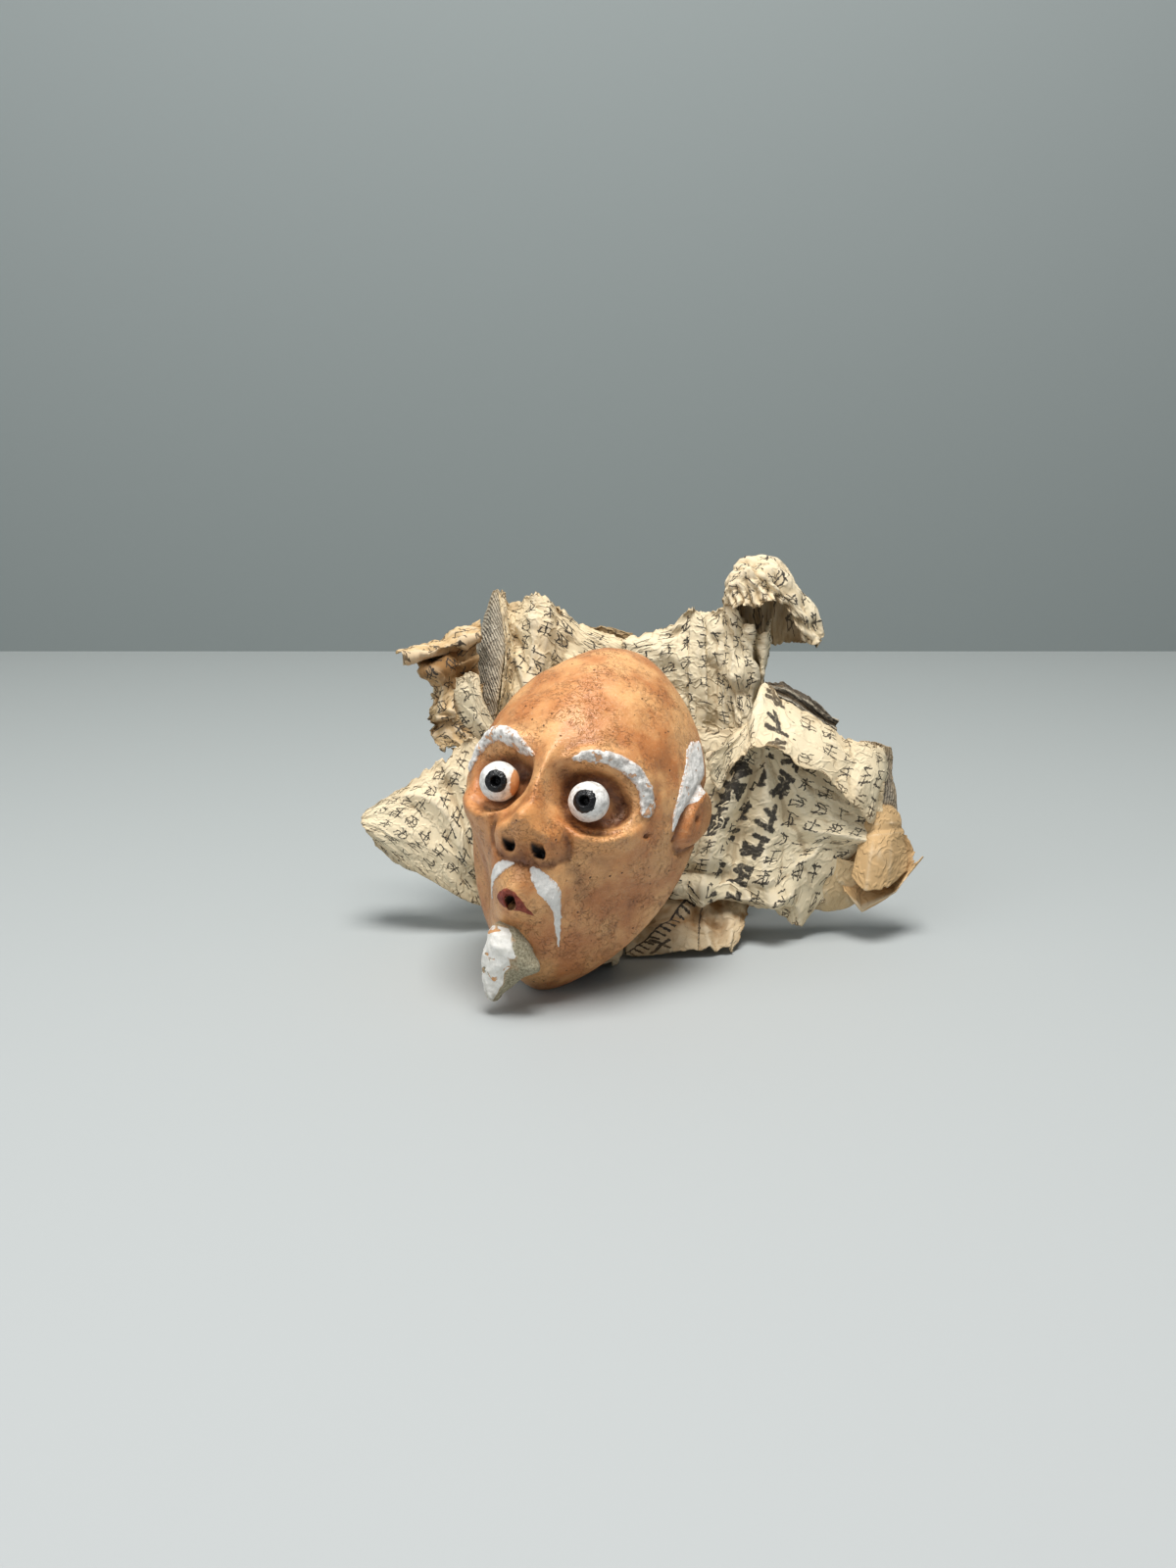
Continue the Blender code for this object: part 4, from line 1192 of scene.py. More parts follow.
    def face(self) -> None:
        """The modelled shell."""
        mesh, shares = grid_mesh("face", self.cells, self.cells)
        bare = self.egg(shares)
        x, y, z = bare.T
        push = np.zeros_like(x)
        bored = np.zeros_like(x)
        for dab in self.dabs:
            strength = dab.field(x, z)
            push += dab.push * strength
            if dab.pit:
                bored = np.maximum(bored, strength)
        for ridge in self.ridges:
            push += ridge.height(x, z)
        sockets = self.dabs[0]
        # hollow: painted shade with some dirt, darkest in eye sockets, creases, ear pits and broad concave
        # places
        hollow = 0.14 * sockets.field(x, z)
        fade = np.minimum(1.0, -y / (0.25 * self.depth))
        places = bare.copy()
        places[:, 1] -= push * fade
        places[:, 0] *= 1 - self.draw_in(bare)
        set_places(mesh, places)
        turn_to(mesh)
        hand = 0.30 * lattice_noise(places * 0.16, 3) + 0.13 * lattice_noise(places * 0.45, 5)
        hand += 0.045 * fractal(places * 1.3, 2, 9)
        pushed, jut, ear_pits = self.ear(bare)
        places = places + normals_of(mesh) * ((hand * fade + pushed)[:, None])
        places[:, 1] += jut
        set_places(mesh, places)
        hollow += np.clip(-roughness_of(mesh, 14) / 0.26, 0, 1) * 0.75 + 0.6 * ear_pits
        hollow += np.clip(-roughness_of(mesh, 160) / 1.1 - 0.1, 0, 1) * 0.22
        glow = 0.9 * bell(np.hypot((x - 0.6) / 4.6, (z + 9.6) / 4.6))  # nose
        glow += 0.55 * bell(np.hypot((np.abs(x) - 10.5) / 4.5, (z + 9.0) / 1.6))  # under the eyes
        glow += 0.35 * bell(np.hypot(x / 8.0, (z - 12.0) / 5.0))  # brow
        # the pit mask marks where the bored holes are painted black as shade
        for mask, values in (("hollow", hollow), ("pit", smooth_step(0.04, 0.20, bored)), ("glow", glow)):
            add_mask(mesh, mask, values)
        shade(mesh)
        made = new_object("face", mesh)
        body = thicken(made, "Wall", self.wall)
        body.use_even_offset = False
        walled = made.vertex_groups.new(name="wall")  # thin round the bored holes, so their walls stay inside
        thin = 1 - 0.9 * smooth_step(0.01, 0.06, bored)
        for number, share in enumerate(thin.tolist()):
            walled.add([number], share, "REPLACE")
        body.vertex_group = "wall"
        self.settle(made, "painted_clay", "face_shell")

    def settle(self, made: bpy.types.Object, finish: str, node: str) -> None:
        """Lays a piece drawn on the face into the world and hands it to the frame.

        Args:
            made: The piece, in the face's frame.
            finish: The name of its finish.
            node: The CAD node that it replaces.
        """
        made.data.transform(Matrix.Diagonal((MM, MM, MM, 1)))
        made.data.transform(self.place)
        made.data.update()
        dress(made, self.finishes[finish])
        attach(made, self.body)
        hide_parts(node)
        LOG.info("%s on %s", made.name, self.body)

    def skin(self) -> BVHTree:
        """The face's surface in its own frame, to lay paint on.

        Returns:
            The surface, in millimetres.
        """
        made = bpy.data.objects["face"]
        back = self.place.inverted()
        points = [(back @ v.co) / MM for v in made.data.vertices]
        return BVHTree.FromPolygons(points, [tuple(p.vertices) for p in made.data.polygons])

    def paint(
        self,
        name: str,
        path: Path,
        side: int,
        skin: BVHTree,
        thickness: float,
        ragged: float,
        seed: int,
        cells: tuple[int, int] = (110, 26),
        wall: float = 0.25,
        from_side: bool = False,
    ) -> bpy.types.Object:
        """A stroke of thick paint that follows the face.

        Args:
            name: The piece's name.
            path: Points of x (or y, if laid from the side), z and half width along the stroke.
            side: 1 for the right side, -1 for the left.
            skin: The face to lay it on.
            thickness: Height of the paint in its middle, in millimetres.
            ragged: How far its edge wanders, in millimetres.
            seed: Picks its lumps.
            cells: Grid cells along and across it.
            wall: How deep the paint goes below its surface, in millimetres.
            from_side: Lays it on from beside the face and not from in front.

        Returns:
            The piece, in the face's frame.
        """
        mesh, shares = grid_mesh(name, *cells)
        along, over = shares[:, 0], shares[:, 1] * 2 - 1
        spot = along_curve(path, along)
        step = along_curve(path, along + 0.01) - along_curve(path, along - 0.01)
        length = np.maximum(np.hypot(step[:, 0], step[:, 1]), 1e-9)
        run = step[:, :2] / length[:, None]
        ends = np.sqrt(np.clip(1 - np.abs(along * 2 - 1) ** 10, 0, 1))
        edge = columns(along * 26, np.sign(over) * 3.0, seed)
        width = (spot[:, 2] + ragged * fractal(edge, 3, seed)) * np.maximum(ends, 0.05)
        flat = spot[:, 0] - run[:, 1] * over * width
        z = spot[:, 1] + run[:, 0] * over * width
        rim = np.maximum(np.abs(over) ** 3, np.abs(along * 2 - 1) ** 12)
        dome = np.sqrt(np.clip(1 - rim, 0, 1))
        lumps = fractal(columns(flat * 0.9, z * 0.9, seed), 3, seed)
        lift = thickness * dome * (1 + 0.45 * lumps) - 0.06
        out = Vector((side, 0, 0)) if from_side else Vector((0, -1, 0))
        places = np.zeros((len(z), 3))
        for number, (across, height) in enumerate(zip(flat.tolist(), z.tolist())):
            start = Vector((0, across, height)) if from_side else Vector((side * across, 0, height))
            found, normal, _, _ = skin.ray_cast(start + out * FAR, -out)
            if found is None:
                found, normal, _, _ = skin.find_nearest(start + out * 12)
            if normal.dot(out) < 0:
                normal = -normal
            places[number] = found + normal * lift[number]
        set_places(mesh, places)
        turn_to(mesh, out)
        add_mask(mesh, "rim", smooth_step(0.55, 1.0, np.maximum(np.abs(over), np.abs(along * 2 - 1) ** 6)))
        shade(mesh)
        made = new_object(name, mesh)
        thicken(made, "Paint", wall)
        return made

    def hair(self, skin: BVHTree) -> None:
        """Brows, moustache and sideburns."""
        for side, word in SIDES:
            brow, moustache = self.brows[side > 0], self.moustaches[side > 0]
            seed = 11 + side
            rows = (  # name, path, thickness, raggedness, finish, and whether it is laid on from beside
                (f"{word}_eyebrow", brow, 0.50, 0.13, "brow_paint", False),
                (f"{word}_moustache", moustache, 0.24, 0.10, "moustache_paint", False),
                (f"{word}_sideburn", self.sideburn, 0.28, 0.16, "sideburn_paint", True),
            )
            for name, path, thick, ragged, finish, beside in rows:
                made = self.paint(name + "_paint", path, side, skin, thick, ragged, seed, from_side=beside)
                self.settle(made, finish, name)

    def lips(self, skin: BVHTree) -> None:
        """Red paint around the mouth hole, drawn out to a point on one side.

        Args:
            skin: The face's surface.
        """
        made = self.paint(
            "lips_paint", self.lip_line, 1, skin, thickness=0.14, ragged=0.06, seed=5, cells=(76, 44),
            wall=0.2,
        )
        x, z, radius = self.mouth
        shape = bmesh.new()
        shape.from_mesh(made.data)
        middles = ((f, f.calc_center_median()) for f in shape.faces)
        hole = [f for f, middle in middles if math.hypot(middle.x - x, middle.z - z) < radius]
        bmesh.ops.delete(shape, geom=hole, context="FACES")
        shape.to_mesh(made.data)
        shape.free()
        self.settle(made, "lip_red", "lips")

    def eye_middle(self, side: int) -> Vector:
        """Where an eyeball is in the face's frame.

        Args:
            side: -1 for the left, 1 for the right.

        Returns:
            The middle of the ball, in millimetres.
        """
        x, z = self.eyes_at[side > 0]
        half_width, depth = self.section(np.array(z / self.down))
        forward = math.sqrt(1 - (z / self.down) ** 2 - (x / float(half_width)) ** 2)
        return Vector((side * x, -float(depth) * forward + self.eye_set_back, z))

    def eyes(self) -> None:
        """Two balls, each with a dished black ring and a deep hole for a pupil."""
        for side, word in SIDES:
            middle = self.eye_middle(side)
            aside, rise = (math.radians(angle) for angle in self.gaze[side > 0])
            turn = Matrix.Rotation(aside, 4, "Z") @ Matrix.Rotation(rise, 4, "X")
            mesh, ball = ball_mesh(f"{word}_eye_ball", 64, 44)
            radius = self.eye_radius * (1 + 0.018 * fractal(ball * 2.2, 3, 20 + side))
            aim = np.arccos(np.clip(-ball[:, 1], -1, 1))
            radius -= self.eye_dish * (1 - smooth_step(0.24, 0.34, aim))
            set_places(mesh, ball * radius[:, None])
            inner = smooth_step(0.45, 0.95, ball[:, 0] * -side * 0.9 + ball[:, 2] * 0.15 - ball[:, 1] * 0.1)
            add_mask(mesh, "bare", inner if side < 0 else 0.35 * inner)
            shade(mesh)
            made = new_object(f"{word}_eye_ball", mesh)
            made.data.transform(Matrix.Translation(middle) @ turn)
            self.settle(made, "eye_white", f"{word}_eyeball")
            self.pupil(word, side, Matrix.Translation(middle) @ turn)

    def pupil(self, word: str, side: int, place: Matrix) -> None:
        """The black ring painted in the dish at the front of a ball.

        Args:
            word: Left or right.
            side: -1 for the left, 1 for the right.
            place: Where the ball is.
        """
        mesh, shares = grid_mesh(f"{word}_pupil", 56, 56)
        across, upward = disc(shares)
        reach = np.hypot(across, upward)
        around = np.arctan2(upward, across)
        aside, rise = np.cos(around), np.sin(around)
        ragged = lattice_noise(columns(aside * 3.1, rise * 3.1, 4.0 * side), 31)
        ragged += 0.6 * lattice_noise(columns(aside * 8, rise * 8, 9.0), 33)
        angle = reach * (self.pupil_reach[side > 0] + 0.035 * ragged)
        out = columns(aside * np.sin(angle), -np.cos(angle), rise * np.sin(angle))
        radius = self.eye_radius + 0.10 + 0.03 * lattice_noise(out * 9, 41)
        dish = self.pupil_dish * (1 - smooth_step(0.20, 0.29, angle))
        radius -= dish + 0.12 * smooth_step(0.50, 0.64, angle)
        set_places(mesh, out * radius[:, None])
        turn_to(mesh)
        add_mask(mesh, "pit", 1 - smooth_step(0.20, 0.30, angle))
        shade(mesh)
        made = new_object(f"{word}_pupil", mesh)
        thicken(made, "Paint", self.pupil_wall)
        made.data.transform(place)
        self.settle(made, "pupil_black", f"{word}_pupil_ring")

    def goatee(self) -> None:
        """A lumpy plaster cone stuck to the chin."""
        mesh, ball = ball_mesh("goatee_cone", 96, 90)
        polar = np.arccos(np.clip(ball[:, 2], -1, 1)) / math.pi
        spot = along_curve(self.beard, polar)
        ring = ball[:, :2] / np.maximum(np.hypot(ball[:, 0], ball[:, 1]), 1e-9)[:, None]
        close = np.sqrt(np.clip(1 - np.abs(polar * 2 - 1) ** 14, 0, 1))
        radius = spot[:, 3] * close
        places = spot[:, :3].copy()
        places[:, 0] += ring[:, 0] * radius
        places[:, 1] += ring[:, 1] * radius * 0.92
        knob = bell(np.linalg.norm(places - np.array(self.beard_knob), axis=1) / 1.7)
        away = places - spot[:, :3]
        away /= np.maximum(np.linalg.norm(away, axis=1), 1e-6)[:, None]
        lumps = 0.30 * fractal(places * 0.45, 3, 51) + 0.07 * fractal(places * 1.7, 3, 53)
        places += away * ((lumps + 2.0 * knob) * np.minimum(radius, 1.0))[:, None]
        set_places(mesh, places)
        facing = -ring[:, 1] * 0.75 - ring[:, 0] * 0.65 + 0.3 * fractal(places * 0.5, 2, 55)
        front = smooth_step(0.02, 0.42, facing)
        add_mask(mesh, "front", front * smooth_step(0.12, 0.26, polar))
        add_mask(mesh, "tip", smooth_step(0.70, 1.0, polar))
        shade(mesh)
        made = new_object("goatee_cone", mesh)
        self.settle(made, "goatee_plaster", "goatee")

    def build(self) -> None:
        """Makes the whole head."""
        for finish in (
            ClayFinish(),
            WhitePaintFinish("brow_paint", wear=1.1, mottle=1.0),
            WhitePaintFinish("moustache_paint", wear=0.1, mottle=0.25),
            WhitePaintFinish("sideburn_paint", wear=0.4, mottle=0.3),
            EyeWhiteFinish(),
            PupilFinish(),
            LipFinish(),
            PlasterFinish(),
        ):
            self.finishes[finish.name] = finish.build()
        self.face()
        skin = self.skin()
        self.hair(skin)
        self.lips(skin)
        self.eyes()
        self.goatee()


# ---- The paper ----


@dataclass(frozen=True)
class Crease:
    """A fold line across a sheet, from one place to another in shares of the sheet."""

    start: tuple[float, float]
    end: tuple[float, float]
    half_width: float  # in millimetres
    height: float  # in millimetres, down if below 0

    def push(self, shares: Array, size: Array) -> Array:
        """How far the fold lifts each place.

        Args:
            shares: An (n, 2) array of places on the sheet, from 0 to 1.
            size: The sheet's width and length in millimetres.

        Returns:
            One lift per place, in millimetres.
        """
        start, end = np.array(self.start) * size, np.array(self.end) * size
        spot = shares * size
        run = end - start
        t = np.clip((spot - start) @ run / max(run @ run, 1e-9), 0, 1)
        gap = np.linalg.norm(spot - start - t[:, None] * run, axis=1)
        return self.height * np.clip(1 - gap / self.half_width, 0, 1)


class Crumple:
    """Flat facets that meet in sharp folds, as crumpled paper has: a loose net of triangles."""

    start: float = 50.0  # height the rays start from, in millimetres
    toss: float = 0.36  # how far the net's corners are thrown, as a share of the pitch
    margin: int = 4  # cells more than the sheet needs

    def __init__(self, size: Array, pitch: float, height: float, seed: int) -> None:
        """Throws the net's corners.

        Args:
            size: Width and length of the sheet, in millimetres.
            pitch: About how far apart the corners are, in millimetres.
            height: How far they stand above or below the sheet, in millimetres.
            seed: Picks one net among many.
        """
        dice = np.random.default_rng(seed)
        count = np.ceil(size / pitch).astype(int) + self.margin
        shape = bmesh.new()
        bmesh.ops.create_grid(shape, x_segments=int(count[0]), y_segments=int(count[1]), size=1.0)
        bmesh.ops.triangulate(shape, faces=shape.faces)
        flat = np.array([v.co[:] for v in shape.verts])
        spot = (flat[:, :2] * 0.5 + 0.5) * (count * pitch) - self.margin / 2 * pitch
        spot += dice.uniform(-self.toss, self.toss, spot.shape) * pitch
        heights = dice.uniform(-1, 1, len(spot)) * height
        corners = [tuple(v.index for v in f.verts) for f in shape.faces]
        self.tree = BVHTree.FromPolygons([(*p, h) for p, h in zip(spot.tolist(), heights.tolist())], corners)
        shape.free()

    def heights(self, spots: Array) -> Array:
        """How high the net stands.

        Args:
            spots: An (n, 2) array of places in millimetres.

        Returns:
            One height per place, in millimetres.
        """
        down = Vector((0, 0, -1))
        found = (self.tree.ray_cast(Vector((x, y, self.start)), down)[0] for x, y in spots.tolist())
        return np.array([hit.z if hit else 0.0 for hit in found])


@dataclass
class PaperSheet:
    """One sheet or torn flap of newsprint.

    The net's rows run from the top down and each row from left to right; a point is x, depth
    behind the paper plane and z, in millimetres.
    """

    name: str
    net: tuple
    finish: PaperFinish
    body: str = "paper_body"
    slot: str = "newsprint"
    rests_on: str = "paper_wad"
    replaces: str = ""
    cell: float = 0.27
    thickness: float = 0.16
    sharp: float = 0.55  # 0 for a smooth sheet, 1 for one folded along the net's lines
    crumple: tuple[tuple[float, float], ...] = ((6.5, 1.15), (3.0, 0.55), (1.4, 0.24))  # pitch and height
    frill: tuple[float, float] = (0.0, 0.0)  # pitch and height of waves along the lower edge, in millimetres
    frill_reach: float = 2.6
    tear_reach: float = 1.4  # how far in a tear still moves the paper
    crisp: float = 0.10  # height of a crease that shows fully pale or dark, in millimetres
    creases: tuple[Crease, ...] = ()
    torn: Edges = (0.5, 0.2, 0.4, 0.2)  # how far the tears wander, in millimetres
    browned: Edges = (1.6, 0.8, 1.2, 0.8)  # how far in the brown reaches, in millimetres
    shade_and_soil: tuple[float, ...] = (0.0, 0.0)  # how dark it is painted, from the top down: brown soiling, and painted shade where it lies under or inside other paper
    joined_to: str = ""
    blend_x: tuple[float, float] = (0.0, 0.0)  # where it starts and ends to follow the arm; not used
    seed: int = 1

    def plane(self) -> float:
        """Y of the paper plane, in millimetres: the CAD hangs it behind the finger tube."""
        low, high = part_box("finger_tube")
        return (low.y + high.y) / 2 / MM + PAPER_DEPTH

    def surface(self, shares: Array) -> Array:
        """The smooth sheet.

        Args:
            shares: An (n, 2) array of places on the sheet, from 0 to 1.

        Returns:
            An (n, 3) array of places in millimetres.
        """
        net = np.array(self.net, float)
        down = spline_weights(len(net), 1 - shares[:, 1], self.sharp)
        across = spline_weights(len(net[0]), shares[:, 0], self.sharp)
        places = np.einsum("nr,nc,rck->nk", down, across, net)
        places[:, 1] += self.plane()
        return places

    def size(self) -> Array:
        """Measures the sheet over its surface.

        Returns:
            Its width and length in millimetres.
        """
        lines = (0.0, 0.33, 0.67, 1.0)
        steps = 60
        lengths = np.zeros(2)
        for axis, fixed in product(range(2), lines):
            shares = np.full((steps, 2), fixed)
            shares[:, axis] = np.linspace(0, 1, steps)
            runs = np.linalg.norm(np.diff(self.surface(shares), axis=0), axis=1)
            lengths[axis] += runs.sum() / len(lines)
        return lengths

    def edges(self, shares: Array, size: Array) -> tuple[Array, Array]:
        """What happens near the sheet's four edges.

        Args:
            shares: An (n, 2) array of places on the sheet, from 0 to 1.
            size: The sheet's width and length in millimetres.

        Returns:
            Shares moved so that the edges are torn, and how brown each place is.
        """
        u, v = shares.T
        moved = shares.copy()
        brown = np.zeros(len(u))
        rows = ((1 - v, u, 1, -1.0), (1 - u, v, 0, -1.0), (v, u, 1, 1.0), (u, v, 0, 1.0))
        for number, (inset, along, axis, sign) in enumerate(rows):
            gap = inset * size[axis]
            run = along * size[1 - axis]
            line = columns(run, 13.0 * number, self.seed)
            wander = fractal(line * 0.30, 3, self.seed) * 1.5 + fractal(line * 1.5, 3, self.seed + 3) * 0.8
            bite = self.torn[number] * (wander + 0.6)
            moved[:, axis] += sign * bite * np.exp(-gap / self.tear_reach) / size[axis]
            brown = np.maximum(brown, np.exp(-gap / max(self.browned[number], 0.01)))
        return moved, brown

    def build(self) -> None:
        """Makes the sheet and hands it to the frame."""
        size = self.size()
        cells = np.maximum((size / self.cell).astype(int), 6)
        mesh, shares = grid_mesh(self.name, int(cells[0]), int(cells[1]))
        moved, brown = self.edges(shares, size)
        set_places(mesh, self.surface(np.clip(moved, 0.0, 1.0)))
        turn_to(mesh)
        spots = shares * size
        lift = np.zeros(len(spots))
        for number, (pitch, height) in enumerate(self.crumple):
            lift = lift + Crumple(size, pitch, height, self.seed * 10 + number).heights(spots)
        for crease in self.creases:
            lift = lift + crease.push(shares, size)
        if self.frill[0]:
            wave = spots[:, 0] / self.frill[0] + 0.7 * lattice_noise(np.c_[spots * 0.22, brown], self.seed)
            ruffle = 1 - 2 * np.abs(2 * (wave - np.floor(wave)) - 1)
            lift = lift + self.frill[1] * ruffle * np.exp(-spots[:, 1] / self.frill_reach)
        set_places(mesh, places_of(mesh) + normals_of(mesh) * lift[:, None])
        bumps = roughness_of(mesh, 5)
        add_uv(mesh, spots / UV_UNIT)
        add_mask(mesh, "edge", brown)
        # ridge and valley carry the painted highlight and painted shade of the folds
        add_mask(mesh, "ridge", bumps / self.crisp)
        add_mask(mesh, "valley", -bumps / self.crisp)
        # per-row darkening: brown soiling and painted shade
        shade_and_soil = spline_weights(len(self.shade_and_soil), 1 - shares[:, 1], 1.0) @ np.array(self.shade_and_soil)
        add_mask(mesh, "shade_and_soil", shade_and_soil * (0.75 + 0.5 * fractal(np.c_[spots * 0.5, brown], 3, self.seed)))
        shade(mesh)
        mesh.transform(Matrix.Diagonal((MM, MM, MM, 1)))
        made = new_object(self.name, mesh)
        thicken(made, "Paper", self.thickness, 0.0)
        dress(made, self.finish.build())
        if self.joined_to:
            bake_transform(made)
        else:
            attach(made, self.body)
        if self.replaces:
            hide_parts(self.replaces)
        LOG.info("%s on %s, %.1f x %.1f mm", self.name, self.body, size[0], size[1])


@dataclass
class PaperWad:
    """A solid lump of crumpled paper: the core of the glove, or the wad inside the head."""

    name: str
    node: str
    body: str
    shrink: float = 0.4
    coarse: float = 1.6  # height of its largest folds, in millimetres
    folds: tuple[tuple[float, float], ...] = ((0.15, 1.0), (0.34, 0.45), (0.8, 0.16))  # scale and share of it
    voxel: float = 0.5
    tuck: float = 0.0  # share by which its front draws in on the right
    crisp: float = 0.12  # height of a crease that shows fully pale or dark, in millimetres
    seed: int = 5

    def build(self) -> None:
        """Makes the wad from the CAD solid's own shape, creased all over."""
        source = bmesh.new()
        source.from_mesh(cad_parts[self.node].data)
        bmesh.ops.remove_doubles(source, verts=source.verts, dist=0.02 * MM)
        made = new_object(self.name, into_mesh(source, self.name))
        remesh = made.modifiers.new("Remesh", "REMESH")
        remesh.mode = "VOXEL"
        remesh.voxel_size = self.voxel * MM
        bpy.context.view_layer.update()
        graph = bpy.context.evaluated_depsgraph_get()
        dense = bpy.data.meshes.new_from_object(made.evaluated_get(graph))
        made.modifiers.clear()
        made.data = dense
        places = places_of(dense) / MM
        normals = normals_of(dense)
        near = smooth_step(10.0, 2.0, places[:, 1])
        places[:, 0] -= self.tuck * near * np.maximum(places[:, 0] + 9.0, 0.0)
        lift = np.zeros(len(places))
        for seed, (scale, share) in enumerate(self.folds, start=self.seed + 1):
            folds = 1 - 2 * np.abs(lattice_noise(places * scale, seed))
            lift += self.coarse * share * (folds - 0.55)
        lift -= self.shrink
        low = places[:, 2] < places[:, 2].min() + 1.0
        lift[low] = np.minimum(lift[low], 0)
        moved = places + normals * lift[:, None]
        moved[:, 2] = np.maximum(moved[:, 2], 0.02)
        set_places(dense, moved * MM)
        bumps = roughness_of(dense, 3) / MM
        along = columns(moved[:, 0] * 0.9 + moved[:, 1] * 0.5, moved[:, 2] + moved[:, 1] * 0.35)
        add_uv(dense, along / UV_UNIT)
        # ridge and valley carry the painted highlight and painted shade of the folds
        add_mask(dense, "ridge", bumps / self.crisp)
        add_mask(dense, "valley", -bumps / self.crisp)
        shade(dense)
        dress(made, PaperFinish(self.name + "_print", turn=12, seed=float(self.seed)).build())
        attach(made, self.body)
        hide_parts(self.node)
        LOG.info("%s on %s", self.name, self.body)


